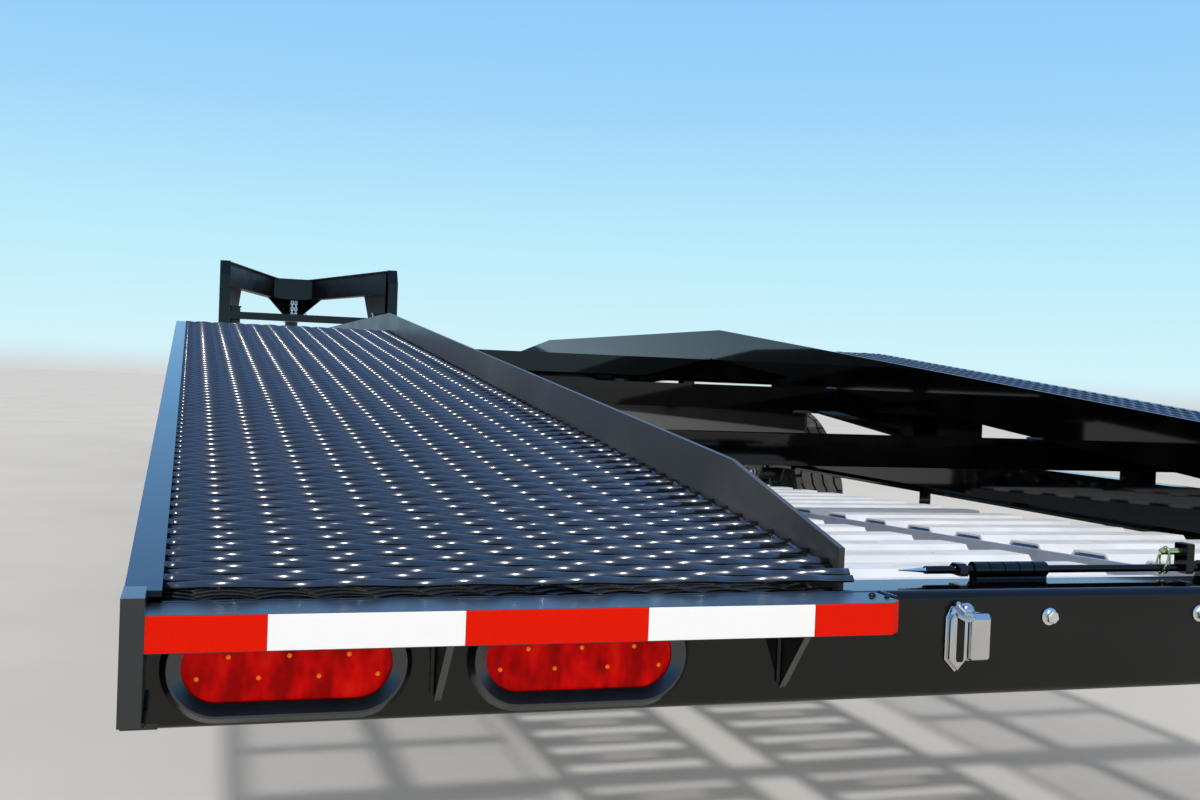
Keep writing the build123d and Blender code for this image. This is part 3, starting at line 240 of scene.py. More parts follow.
TYRE = plain_rubber("tyre_rubber", (0.012, 0.012, 0.013), 0.5, 45.0)
DUSTY_TYRE = plain_rubber("tyre_dust", (0.09, 0.078, 0.062), 0.7, 28.0)
RUBBER = plain_rubber("lamp_rubber", (0.005, 0.005, 0.006), 0.24, 60.0, specular=1.0)
# The lenses' glow and their bright streaks are painted light.
RED_LENS = lens_material("red_lens", (0.3, 0.0, 0.0), (0.86, 0.002, 0.001), (1.0, 0.03, 0.006))
AMBER_LENS = lens_material("amber_lens", (0.6, 0.12, 0.005), (0.9, 0.3, 0.02), (1.0, 0.5, 0.1))
# The LED chips' and the tapes' glow is painted light.
LED_CHIP = tape_material("led_chip_painted_glow", (1.0, 0.2, 0.01), 0.35)
RED_TAPE = tape_material("red_tape", (0.86, 0.011, 0.001), 0.1)
WHITE_TAPE = tape_material("white_tape", grey(0.985), 0.17)

SLOT_MATERIALS = {
    "frame_black": PAINT, "tread_black": TREAD_PAINT, "running_gear_black": GEAR_PAINT,
    "ramp_aluminium": ALUMINIUM, "zinc_steel": ZINC, "lamp_chrome": CHROME, "wheel_steel": WHEEL_PAINT,
    "tyre_rubber": TYRE, "lamp_rubber": RUBBER, "red_lens": RED_LENS, "amber_lens": AMBER_LENS,
}
NODE_MATERIALS = {
    # The left guard alone gets the paler paint with its painted sheen; the right guard keeps the gloss black.
    "inner_rail_left": LEFT_GUARD_DUST_AND_SHEEN_PAINT, "hook_lips": LIP_PAINT, "neck_beam_left": NECK_PAINT,
    "neck_beam_right": NECK_PAINT, "knee_gussets": NECK_PAINT,
}


def dress_nodes():
    """Each CAD node gets a material of its own or that of its slot."""
    for row in frame["record"]["subparts"]:
        materials = NODES[row["node"]].data.materials
        materials.clear()
        materials.append(NODE_MATERIALS.get(row["node"], SLOT_MATERIALS[row["material_slot"]]))


# Shapes: each is a list of points and one of faces, which a Piece gathers into one mesh

CORNER_STEPS = 4
BEAD_WAIST, BEAD_SCATTER = 0.8, 0.06
BOLT_HEAD = ((0.98, 0), (1, 0.08), (1, 0.52), (0.84, 0.62))
BOLT_WASHER = ((0.72, 0), (0.76, 0.3), (0.76, 0.7), (0.7, 1))


def place(inward, station, height, side=-1):
    """A point from its place in millimetres."""
    return Vector((side * (HALF - inward / 1000), REAR_Y + station / 1000, height / 1000))


def mm(x, y, z):
    return Vector((x, y, z)) / 1000


def basis(axis):
    """Two directions square to an axis, and its own."""
    along = Vector(axis).normalized()
    across = along.orthogonal().normalized()
    return across, along.cross(across), along


def circle(count):
    """The cosine and sine of each step round a full turn."""
    return [(cos(2 * pi * k / count), sin(2 * pi * k / count)) for k in range(count)]


def skin(rings, closed=False):
    """Faces over rings of equal count, capped at each end unless closed."""
    count = len(rings[0])
    verts = [p for ring in rings for p in ring]
    faces = []
    for n in range(len(rings) if closed else len(rings) - 1):
        low, high = n * count, (n + 1) % len(rings) * count
        faces += [(low + k, low + (k + 1) % count, high + (k + 1) % count, high + k) for k in range(count)]
    if not closed:
        faces += [tuple(range(count))[::-1], tuple(range(len(verts) - count, len(verts)))]
    return verts, faces


def lathe(profile, centre, axis, count=24):
    """A turned shape; profile is (radius, distance along the axis)."""
    across, over, along = basis(axis)
    return skin([[centre + along * (reach / 1000) + (across * c + over * s) * (radius / 1000)
                  for c, s in circle(count)] for radius, reach in profile])


def rounded(width, height, radius, middle=(0, 0)):
    """A rounded rectangle's outline, counter-clockwise."""
    points = []
    for corner, (sx, sy) in enumerate(((1, 1), (-1, 1), (-1, -1), (1, -1))):
        for k in range(CORNER_STEPS + 1):
            turn = pi / 2 * (corner + k / CORNER_STEPS)
            points.append((middle[0] + sx * (width / 2 - radius) + radius * cos(turn),
                           middle[1] + sy * (height / 2 - radius) + radius * sin(turn)))
    return points


def inset(outline, amount):
    """A closed counter-clockwise outline moved inward."""
    moved = []
    for k, point in enumerate(outline):
        here = Vector(point)
        back = (here - Vector(outline[k - 1])).normalized()
        on = (Vector(outline[(k + 1) % len(outline)]) - here).normalized()
        first, second = Vector((-back.y, back.x)), Vector((-on.y, on.x))
        moved.append(here + (first + second) * (amount / (1 + first.dot(second))))
    return moved


def prism(outline, origin, across, up, depth, edge):
    """An outline pulled along the normal of its two axes, with its end edges broken."""
    out = across.cross(up)
    rings = ((inset(outline, edge), 0), (outline, edge), (outline, depth - edge), (inset(outline, edge), depth))
    return skin([[origin + (across * p[0] + up * p[1] + out * reach) / 1000 for p in ring]
                 for ring, reach in rings])


def tube(path, radius, sides=8, closed=False):
    """A round bar along a path; radius is one number or one for each point, in metres."""
    rings = []
    count = len(path)
    for n, point in enumerate(path):
        if closed:
            behind, ahead = path[n - 1], path[(n + 1) % count]
        else:
            behind, ahead = path[max(n - 1, 0)], path[min(n + 1, count - 1)]
        along = (ahead - behind).normalized()
        across = along.cross(UP if abs(along.z) < 0.9 else RIGHT).normalized()
        over = across.cross(along)
        size = radius[n] if isinstance(radius, list) else radius
        rings.append([point + across * (size * c) + over * (size * s) for c, s in circle(sides)])
    return skin(rings, closed)


def bead(start, end, size=4.5, pitch=7.0):
    """A weld bead between two points: a bar that swells at each ripple."""
    count = max(2, round((end - start).length * 1000 / pitch)) * 2
    path = [start.lerp(end, n / count) for n in range(count + 1)]
    sizes = [size / 1000 * ((1.0 if n % 2 else BEAD_WAIST) + random.uniform(-BEAD_SCATTER, BEAD_SCATTER))
             for n in range(count + 1)]
    return tube(path, sizes, sides=6)


def hex_bolt(centre, axis, size, washer=0.0):
    """A hexagon head on a washer of some thickness; size is across its flats."""
    radius = size / sqrt(3)
    parts = [lathe([(radius * r, washer + size * h) for r, h in BOLT_HEAD], centre, axis, 6)]
    if washer:
        parts.append(lathe([(size * r, washer * h) for r, h in BOLT_WASHER], centre, axis, 20))
    return parts


def mount(name, mesh, body, stands_for):
    """Puts a mesh in the scene as a piece of the part."""
    piece = bpy.data.objects.new(name, mesh)
    bpy.context.collection.objects.link(piece)
    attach(piece, body)
    if stands_for:
        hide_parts(stands_for)


class Piece:
    """Gathers shapes, each of one material, into one mesh."""

    def __init__(self, *materials):
        self.materials = materials
        self.verts, self.faces, self.marks = [], [], []

    def add(self, *shapes, material=0):
        for verts, faces in shapes:
            start = len(self.verts)
            self.verts += verts
            self.faces += [tuple(start + k for k in face) for face in faces]
            self.marks += [material] * len(faces)

    def make(self, name, slot, body="chassis", angle=35, stands_for=""):
        """Edges over angle, in degrees, stay sharp; stands_for is the CAD node that this replaces."""
        mesh = bpy.data.meshes.new(name)
        mesh.from_pydata([tuple(v) for v in self.verts], [], self.faces)
        for material in self.materials:
            mesh.materials.append(material)
        mesh.polygons.foreach_set("material_index", self.marks)
        shape = bmesh.new()
        shape.from_mesh(mesh)
        bmesh.ops.recalc_face_normals(shape, faces=shape.faces)
        shape.to_mesh(mesh)
        shape.free()
        mesh.polygons.foreach_set("use_smooth", [True] * len(mesh.polygons))
        mesh.set_sharp_from_angle(angle=radians(angle))
        mount(name, mesh, body, stands_for)


def make_pair(label, slot, build, *materials, args=(), body="chassis", angle=35, stands_for=""):
    """A piece on each side, which build fills; {} in a body's or a node's name stands for the side."""
    for name, side in SIDES:
        piece = Piece(*materials)
        build(piece, side, *args)
        piece.make(f"{label}_{name}", slot, body.format(name), angle, stands_for.format(name))


# Runways: expanded metal, its strands bonded to the row behind and the row in front by turns. Metres

STRAND_PITCH, BOND_PITCH = 0.021, 0.0504
STRAND_WIDTH, STRAND_THICK = 0.0075, 0.0044
STRAND_TILT = radians(45)
STRAND_PHASE = 0.55
BOND_FLATNESS = 0.75
TREAD_PROUD = 0.003
TREAD_LOW, TREAD_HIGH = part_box("tread_left")
TREAD_OUTER, TREAD_INNER = HALF + TREAD_LOW.x, HALF + TREAD_HIGH.x
FINE_SECTION = ((-0.5, 0), (-0.44, 0.38), (-0.26, 0.5), (0.26, 0.5), (0.44, 0.38), (0.5, 0), (0.32, -0.5),
                (-0.32, -0.5))
PLAIN_SECTION = ((-0.5, 0), (0, 0.5), (0.5, 0), (0, -0.5))
CREST_Y = REAR_Y + 3.12
WELD_INWARD, WELD_START, WELD_SINK = 0.6412, 0.075, 0.0045
WELD_PITCH, WELD_SCATTER = 0.007, 0.0012
RAIL_CUT, RAIL_FOOT, RAIL_NEAR = 0.16, 0.03, 0.001


def deck_corners():
    """The deck's corners as (y, z), read from an outer rail's top edge."""
    tops = {}
    for vertex in NODES["outer_rail_left"].data.vertices:
        y = round(vertex.co.y, 4)
        tops[y] = max(vertex.co.z, tops.get(y, 0))
    return sorted(tops.items())


DECK = deck_corners()


def deck_at(y):
    """The deck's height and slope at a Y."""
    for (y0, z0), (y1, z1) in zip(DECK, DECK[1:]):
        if y1 - y0 > 0.01 and (y <= y1 or y1 == DECK[-1][0]):
            slope = (z1 - z0) / (y1 - y0)
            return z0 + (y - y0) * slope, slope


def expanded_metal(piece, side, start, stop, corners, steps):
    """A length of a runway's tread between two Ys; corners is its strands' section, steps those of a bond."""
    swing = (STRAND_PITCH - STRAND_WIDTH * cos(STRAND_TILT)) / 2
    rise = STRAND_WIDTH / 2 * sin(STRAND_TILT)
    rows = round((stop - start) / STRAND_PITCH)
    columns = ceil((TREAD_INNER - TREAD_OUTER) / (BOND_PITCH / steps))
    for row in range(rows):
        y_row = start + (row + 0.5) * (stop - start) / rows
        level, slope = deck_at(y_row)
        tilt = STRAND_TILT + atan(slope)
        section = [(u * STRAND_WIDTH * cos(tilt) - v * STRAND_THICK * sin(tilt),
                    u * STRAND_WIDTH * sin(tilt) + v * STRAND_THICK * cos(tilt)) for u, v in corners]
        top = level + TREAD_PROUD - rise - max(z for y, z in section)
        rings = []
        for n in range(columns + 1):
            inward = TREAD_OUTER + (TREAD_INNER - TREAD_OUTER) * n / columns
            wave = cos(pi * (inward / BOND_PITCH + row - STRAND_PHASE))
            wave = copysign(abs(wave) ** BOND_FLATNESS, wave)
            y = y_row + wave * swing
            z = top + (y - y_row) * slope - wave * rise
            rings.append([Vector((side * (HALF - inward), min(max(y + dy, start), stop), z + dz))
                          for dy, dz in section])
        piece.add(skin(rings))


def tread_welds(piece, side):
    """A lumpy bead of weld and paint along the foot of each guard, under the ends of the near strands."""
    first = TREAD_LOW.y + WELD_START
    count = round((CREST_Y - first) / WELD_PITCH)
    path, sizes = [], []
    for n in range(count + 1):
        y = first + (CREST_Y - first) * n / count
        z = deck_at(y)[0] - WELD_SINK + random.uniform(-WELD_SCATTER, WELD_SCATTER)
        path.append(Vector((side * (HALF - WELD_INWARD), y, z)))
        sizes.append((0.0042 if n % 3 == 1 else 0.0028) + random.uniform(0, 0.0011))
    piece.add(tube(path, sizes, sides=7))


def make_outer_rails():
    """The outer rails, with the foot of each rear end cut up to the rear beam's underside."""
    for name in ("left", "right"):
        shape = bmesh.new()
        shape.from_mesh(NODES[f"outer_rail_{name}"].data)
        rear = min(v.co.y for v in shape.verts)
        parts = shape.verts[:] + shape.edges[:] + shape.faces[:]
        bmesh.ops.bisect_plane(shape, geom=parts, plane_co=(0, rear + RAIL_CUT, 0), plane_no=FORWARD)
        end = [v for v in shape.verts if v.co.y < rear + RAIL_NEAR]
        foot = min(v.co.z for v in end)
        for vertex in [v for v in end if v.co.z < foot + RAIL_FOOT]:
            vertex.co.z += max(0, BEAM_LOW[2] + RAIL_NEAR - foot)
        mesh = bpy.data.meshes.new(f"outer_rail_cut_{name}")
        shape.to_mesh(mesh)
        shape.free()
        mesh.polygons.foreach_set("use_smooth", [False] * len(mesh.polygons))
        mesh.materials.append(RAIL_PAINT)
        mount(mesh.name, mesh, "chassis", f"outer_rail_{name}")


# Reflective tape on the lips, in runs from one inward distance to the next

TAPE_RUNS = (("red", 17.4, 105), ("white", 105, 257), ("red", 257, 410), ("white", 410, 562), ("red", 562, 638))
TAPE_STATION = -54.4
TAPE_MITRE = (649.3, -43.1)
TAPE_BOTTOM, TAPE_TOP = 683.0, 710.6
TAPE_THICK, TAPE_EDGE, TAPE_GAP, TAPE_STEP = 0.4, 0.3, 0.2, 11
SQUARE_LEAN, MITRE_LEAN = Vector((0, -1)), Vector((0.7071, -0.7071))


def tape_strip(route, side):
    """A strip over a route of (inward, station) points, with its edges turned down."""
    rings = []
    for inward, station in route:
        lean = SQUARE_LEAN if inward <= TAPE_RUNS[-1][2] else MITRE_LEAN
        proud = TAPE_THICK + random.uniform(-0.06, 0.02)
        section = ((TAPE_BOTTOM, 0), (TAPE_BOTTOM + TAPE_EDGE, TAPE_THICK), (TAPE_TOP - TAPE_EDGE, proud),
                   (TAPE_TOP, 0))
        rings.append([place(inward + lean.x * out, station + lean.y * out, height, side)
                      for height, out in section])
    return skin(rings)


def make_tape():
    """The tape's runs; the last one goes on round the lip's mitred end."""
    for name, side in SIDES:
        pieces = {"red": Piece(RED_TAPE), "white": Piece(WHITE_TAPE)}
        for tint, start, end in TAPE_RUNS:
            steps = round((end - start) / TAPE_STEP)
            route = [(start + TAPE_GAP + (end - start - 2 * TAPE_GAP) * n / steps, TAPE_STATION)
                     for n in range(steps + 1)]
            if end == TAPE_RUNS[-1][2]:
                route[-1:] = [(end, TAPE_STATION), TAPE_MITRE]
            pieces[tint].add(tape_strip(route, side))
        for tint, piece in pieces.items():
            piece.make(f"{tint}_tape_{name}", "red_lens")


# Lamps. A lens is a slot's shape with rings of relief: a dome and a groove round it at each well

LENS_STRAIGHT, LENS_RADIUS, LENS_EDGE, LENS_BACK = 54, 28.5, 28.3, 20
LENS_RIM_RISE, LENS_CROWN = 0.6, 3.4
LENS_PLACES = (126, 369)
LENS_HEIGHT = 660
LENS_RINGS = 22
ARC_STEPS, RUN_STEPS = 26, 34
WELLS = [(x, -9) for x in (-70.5, -23.5, 23.5, 70.5)] + [(x, 8) for x in (-47, 0, 47)]
FAINT_WELLS = [(x, -17) for x in (-47, 0, 47)]
WELL_DEPTHS = [(well, 0.55, 0.8) for well in WELLS] + [(well, 0.4, 0) for well in FAINT_WELLS]
DOME_REACH, GROOVE_REACH, GROOVE_WIDTH = 4, 9.5, 1.5
LED_PROFILE = ((1.9, 0), (1.8, 0.5), (1.1, 0.9), (0.3, 1.1))


def stadium(radius):
    """A slot's outline about its middle, counter-clockwise."""
    points = []
    for way in (1, -1):
        for k in range(ARC_STEPS):
            angle = pi * (k / ARC_STEPS - 0.5)
            points.append((way * (LENS_STRAIGHT + radius * cos(angle)), way * radius * sin(angle)))
        for k in range(RUN_STEPS):
            points.append((way * LENS_STRAIGHT * (1 - 2 * k / RUN_STEPS), way * radius))
    return points


def lens_rise(x, z, radius):
    """How far the lens stands proud of the beam, at a point on the slot of a radius."""
    rise = LENS_RIM_RISE + LENS_CROWN * (1 - (radius / LENS_RADIUS) ** 2)
    for (cx, cz), groove, dome in WELL_DEPTHS:
        reach = hypot(x - cx, z - cz)
        rise += (dome * exp(-(reach / DOME_REACH) ** 2)
                 - groove * exp(-((reach - GROOVE_REACH) / GROOVE_WIDTH) ** 2))
    return rise


def make_lenses():
    """The four tail lamps' lenses, with an LED chip in each well, whose painted glow makes its point of light.
    """
    count = 0
    for side in (-1, 1):
        for inward in LENS_PLACES:
            centre = place(inward, 0, LENS_HEIGHT, side)
            rings = [[centre + mm(x, LENS_BACK, z) for x, z in stadium(LENS_EDGE)]]
            for n in range(LENS_RINGS + 1):
                radius = LENS_EDGE * (1 - n / (LENS_RINGS + 0.4))
                rings.append([centre + mm(x, -lens_rise(x, z, radius), z) for x, z in stadium(radius)])
            piece = Piece(RED_LENS, LED_CHIP)
            piece.add(skin(rings))
            for x, z in WELLS:
                radius = abs(z) if abs(x) < LENS_STRAIGHT else hypot(abs(x) - LENS_STRAIGHT, z)
                seat = centre + mm(x, 0.3 - lens_rise(x, z, radius), z)
                piece.add(lathe(LED_PROFILE, seat, -FORWARD, 12), material=1)
            count += 1
            piece.make(f"tail_lens_{count}", "red_lens", angle=60, stands_for="tail_lamps")


# The plate lamp, right of, behind and above its lower left corner. A part of its screw is a profile and a count
# of sides, a stud a place and a radius, a ring of the cover a depth, a shrink and a drop of its top
PLATE_LAMP = place(725, 0, 635)
BASE = ((0, 12), (11.5, 0), (22, 10), (42, 10), (42, 55), (26, 57), (20, 62), (5, 62), (0, 52))
HOOD = ((2, 13), (11.5, 2.5), (21, 13), (21, 50), (17, 57), (6, 57), (2, 50))
WINDOW = ((8.2, 13), (9.6, 10.6), (15.2, 10.6), (16.4, 13), (16.4, 53), (8.2, 53))
WINDOW_SEAT = Vector((0, -0.0085, 0))
COVER = rounded(22.2, 44, 3.2, middle=(32.8, 33.5))
COVER_TOP = 55.5
COVER_RINGS = ((0, 0, 0), (7.6, 0, 0), (10.6, 1.0, 4.4), (11.2, 1.6, 5.2))
SCREW_PLACE, SCREW_LEAN = Vector((17, -6, 56)), Vector((0.1, -0.55, 0.83))
SCREW_PARTS = ((((11, -1), (11, 1.4), (10, 2.4)), 24), (((8.6, 2), (8.6, 5.5), (7, 6.6)), 6),
               (((5.6, 6), (5.4, 8.4), (3.6, 9.8), (0.8, 10.3)), 14))
LAMP_STUDS = ((6.5, 58.5, 3.4), (10.5, 64, 2.6), (24.5, 60, 2.8))


def make_plate_lamp():
    """A chrome band round a dark slot on a pointed base, a flat cover beside it, a domed screw on top."""
    piece = Piece(CHROME, DARK_PLASTIC)
    piece.add(prism(BASE, PLATE_LAMP, RIGHT, UP, depth=3, edge=0.8))
    piece.add(prism(HOOD, PLATE_LAMP, RIGHT, UP, depth=8.6, edge=1.4))
    piece.add(prism(WINDOW, PLATE_LAMP + WINDOW_SEAT, RIGHT, UP, depth=0.35, edge=0.1), material=1)
    piece.add(skin([[PLATE_LAMP + mm(x, -reach, min(z, COVER_TOP - drop)) for x, z in inset(COVER, shrink)]
                    for reach, shrink, drop in COVER_RINGS]))
    for profile, sides in SCREW_PARTS:
        piece.add(lathe(profile, PLATE_LAMP + SCREW_PLACE / 1000, SCREW_LEAN, sides))
    for across, up, size in LAMP_STUDS:
        seat = PLATE_LAMP + mm(across, -5, up)
        piece.add(lathe([(size, -3), (size, 1), (size * 0.7, 2.4), (size * 0.2, 3)], seat, SCREW_LEAN, 12))
    piece.make("plate_lamp_chrome", "lamp_chrome", angle=24, stands_for="plate_lamp")


MARKER_DROP = 0.064
MARKER_RIM = ((25.5, 0.2), (25.5, 2.2), (24, 3.2), (21, 3.4), (19.3, 2.6), (19.3, 0.2))
MARKER_CROWN = ((17.5, 2), (17.5, 3.6), (14, 3.9), (8, 3.98), (1, 4))


def markers(piece, side, *stations):
    """A rubber rim and a domed crown on each side marker lamp."""
    for station in stations:
        y = REAR_Y + station / 1000
        seat = Vector((side * HALF, y, deck_at(y)[0] - MARKER_DROP))
        piece.add(lathe(MARKER_RIM, seat, RIGHT * side, 32))
        piece.add(lathe(MARKER_CROWN, seat, RIGHT * side, 32), material=1)


# Small fittings on the rear beam

PLATE_BOLTS = (840.1, 1017.9)
PLATE_BOLT_HEIGHT = 685
KEEPER_STATION, KEEPER_HEIGHT = 66, 720.5
KEEPER_ROOT, KEEPER_LENGTH = 741, 351
KEEPER_BLADE = ((713, 0.4, 0.6), (721, 1.3, 1.0), (731, 2.6, 1.6), (741, 3.9, 2.4), (753, 3.9, 2.5))
BLADE_SECTION = ((-1, 0), (-0.6, 1), (0.6, 1), (1, 0), (0.6, -1), (-0.6, -1))
LOW_ARM = ((-12, -5), (8, -5), (8, 4), (4, 7), (-7, 7), (-12, 3))
TALL_ARM = ((-12, -5), (8, -5), (8, 25.5), (7, 26.5), (-11, 26.5), (-12, 25.5))
KEEPER_ARMS = ((780, LOW_ARM), (1054, TALL_ARM))
ARM_WIDTH = 10
PIN_PROFILE = ((2, 0), (3.2, 1.5), (3.6, 3), (3.6, 12), (3.6, 12.5), (3.6, 31), (2.8, 32.5), (2.8, 33.5),
               (3.8, 34.5), (3.2, 37), (1.2, 38.2))
PIN_PLACE, PIN_RING_PLACE = (1061, 65, 738), (1030, 65, 729)
PIN_RING_TURNS = ((0, 0), (4, 3))


def make_plate_bolts():
    piece = Piece(ZINC)
    for inward in PLATE_BOLTS:
        piece.add(*hex_bolt(place(inward, 0, PLATE_BOLT_HEIGHT), -FORWARD, 11, 1.5))
    piece.make("plate_bolts", "zinc_steel")


def keeper(piece, side):
    """Each keeper's rod with its ground blade, its low inner arm and its tall outer arm."""
    start = place(KEEPER_ROOT, KEEPER_STATION, KEEPER_HEIGHT, side)
    rod = ((3.2, 0), (4, 1.5), (4, KEEPER_LENGTH - 1), (3.2, KEEPER_LENGTH))
    piece.add(lathe(rod, start, RIGHT * -side, 20))
    blade = [[place(inward, KEEPER_STATION + u * half_width, KEEPER_HEIGHT + v * half_thick, side)
              for u, v in BLADE_SECTION] for inward, half_width, half_thick in KEEPER_BLADE]
    piece.add(skin(blade), material=1)
    for inward, outline in KEEPER_ARMS:
        origin = place(inward + side * ARM_WIDTH / 2, KEEPER_STATION, KEEPER_HEIGHT, side)
        piece.add(prism(outline, origin, FORWARD, UP, ARM_WIDTH, edge=0.8))


def keeper_pin(piece, side):
    """A yellow-zinc lynch pin through each keeper's outer arm, with its wire ring of two turns."""
    piece.add(lathe(PIN_PROFILE, place(*PIN_PLACE, side), RIGHT * side, 20))
    middle = place(*PIN_RING_PLACE, side)
    for lean, drift in PIN_RING_TURNS:
        ring = [middle + mm(side * (drift - lean * s), 7.5 * c, 14 * s) for c, s in circle(28)]
        piece.add(tube(ring, 0.001, closed=True))


# Weld beads, each as its start and end, and its size and pitch where they aren't the usual ones

TUBE_STATIONS = [1297 + n * 940 for n in range(12)] + [12735.9]
TUBE_SIZE = 63.5
GUARD_DROP = 45
GUARD_FACE, RAIL_FACE = 651.5, 6.5
LIP_GUSSETS = (247, 560)
LIP_WELDS = (((18, -3, 626), (18, -52, 629.5), 2.6, 6), ((655, 1, 711), (655, -30, 711), 2.0, 6),
             ((570, 78, 711.5), (645, 78, 711.5), 3.0, 6))
SPATTER = ((636, -20, 3.4), (645, -30, 2.4), (629, -31, 1.8))
BARREL_RUNS = ((798, 880), (1075, 1081))


def add_beads(piece, side, *rows):
    for start, end, *size in rows:
        piece.add(bead(place(*start, side), place(*end, side), *size))


def tube_top(station):
    """The height of a cross tube's top, under the lower end of the deck above it."""
    ends = [deck_at(REAR_Y + s / 1000)[0] * 1000 for s in (station, station + TUBE_SIZE)]
    return min(ends) - GUARD_DROP


def frame_welds(piece, side):
    """Beads where the cross tubes meet the guards and rails, and where the lip's gussets meet the beam."""
    for station in TUBE_STATIONS:
        top = tube_top(station)
        foot = top - TUBE_SIZE - 1
        rear, front = station + 3, station + 60
        add_beads(piece, side, ((GUARD_FACE, rear, top + 1), (GUARD_FACE, front, top + 1)))
        for edge in (station - 1, station + TUBE_SIZE + 1):
            add_beads(piece, side, ((RAIL_FACE, edge, top - 4), (RAIL_FACE, edge, top - 58)))
        add_beads(piece, side, ((RAIL_FACE, rear, foot), (RAIL_FACE, front, foot)))
    for inward in LIP_GUSSETS:
        for edge in (inward - 4.5, inward + 4.5):
            add_beads(piece, side, ((edge, -1, 676), (edge, -1, 632), 3.2, 6))
    add_beads(piece, side, *LIP_WELDS)
    for inward, station, size in SPATTER:
        drop = ((size, -0.5), (size, size * 0.3), (size * 0.8, size * 0.7), (size * 0.4, size * 0.95),
                (size * 0.1, size))
        piece.add(lathe(drop, place(inward, station, 711, side), UP, 12))


def barrel_welds(piece, side):
    """Beads along both feet of the keepers' barrels."""
    for start, end in BARREL_RUNS:
        for foot in (61.5, 70.5):
            add_beads(piece, side, ((start, foot, 711.5), (end, foot, 711.5), 2.6, 5))


# Ramps

RAMP_MID, RAMP_HALF, RAMP_LENGTH = 266.5, 203, 2438
RAMP_REAR, RAMP_TOP, RAMP_FALL = 128, 690, 0.0393
RAMP_STRETCH = sqrt(1 + RAMP_FALL ** 2)
RUNG_PITCH = 152.4
RUNG_CENTRES = [70 + n * RUNG_PITCH for n in range(16)]
RUNG_RISE, RUNG_FOOT, RUNG_CROWN = 18, 51, 34
CAP_STEPS = 12
PAD_STEPS, PAD_LENGTH, PAD_OUTER, PAD_INNER = 24, 42, RAMP_HALF - 3, RAMP_HALF - 28
WEB_STEPS, WEB_OVERHANG, WEB_BOTTOM = 30, 4, -66


def ramp_point(side, across, along, up):
    """A point on a ramp from the middle of its width, its rear end and its rungs' tops."""
    return Vector(((side * RAMP_MID + across) / 1000,
                   REAR_Y + (RAMP_REAR + (along + up * RAMP_FALL) / RAMP_STRETCH) / 1000,
                   (RAMP_TOP + (up - along * RAMP_FALL) / RAMP_STRETCH) / 1000))


def rung_cap(side, edge, centre):
    """The serrated plate that closes a rung's open end, leaning in at its top."""
    rings = []
    for k in range(CAP_STEPS * 2 + 1):
        share = k / CAP_STEPS - 1
        tooth = 0.5 if k % 2 else 0.0
        foot, crown = centre + (RUNG_FOOT - 5) * share, centre + (RUNG_CROWN - 3.5) * share
        out, back = edge * (RAMP_HALF - 0.6 - tooth), edge * (RAMP_HALF - 10 - tooth)
        corners = ((out, foot, 0.4 - RUNG_RISE), (back, crown, -3.4), (back - edge, crown, -3.8),
                   (out - edge, foot, 0.2 - RUNG_RISE))
        rings.append([ramp_point(side, *corner) for corner in corners])
    return skin(rings)


def rail_pad(side, edge, middle):
    """A pad with fine teeth on a rail between two rungs."""
    rings = []
    for k in range(PAD_STEPS + 1):
        along = middle - PAD_LENGTH / 2 + PAD_LENGTH * k / PAD_STEPS
        top = (1.2 if k in (0, PAD_STEPS) else 1.6 + 0.9 * (k % 3 == 1)) - RUNG_RISE
        bottom = -RUNG_RISE - 0.5
        corners = ((PAD_OUTER, bottom), (PAD_OUTER, top), (PAD_INNER, top), (PAD_INNER, bottom))
        rings.append([ramp_point(side, edge * across, along, up) for across, up in corners])
    return skin(rings)


def ramp_welds(piece, side):
    """Beads at the rungs' ends, and pads on the rails between them."""
    for centre in RUNG_CENTRES:
        for edge in (-1, 1):
            x = edge * (RAMP_HALF - 1)
            for way in (-1, 1):
                along = centre + way * (RUNG_FOOT + 1)
                ends = [ramp_point(side, across, along, 1 - RUNG_RISE) for across in (x, x - edge * 30)]
                piece.add(bead(*ends, 2.4, 5))
            if centre != RUNG_CENTRES[-1]:
                piece.add(rail_pad(side, edge, centre + RUNG_PITCH / 2))


def ramp_caps(piece, side):
    piece.add(*[rung_cap(side, edge, centre) for centre in RUNG_CENTRES for edge in (-1, 1)])


def shaded_ramp_webs(piece, side):
    """The outer faces of the rails, between their flanges: thin sheets of darker blue-grey aluminium, a painted
    shade and a painted sky reflection.
    """
    length = RAMP_LENGTH + 2 * WEB_OVERHANG
    for edge in (-1, 1):
        face, back = edge * (RAMP_HALF + 2.4), edge * (RAMP_HALF + 0.1)
        corners = ((back, WEB_BOTTOM), (face, WEB_BOTTOM), (face, -8.5), ((face + back) / 2, -7.6), (back, -8.5))
        piece.add(skin([[ramp_point(side, across, length * n / WEB_STEPS - WEB_OVERHANG, up)
                         for across, up in corners] for n in range(WEB_STEPS + 1)]))


# Wheels. A tyre's profile is (distance outward, radius)

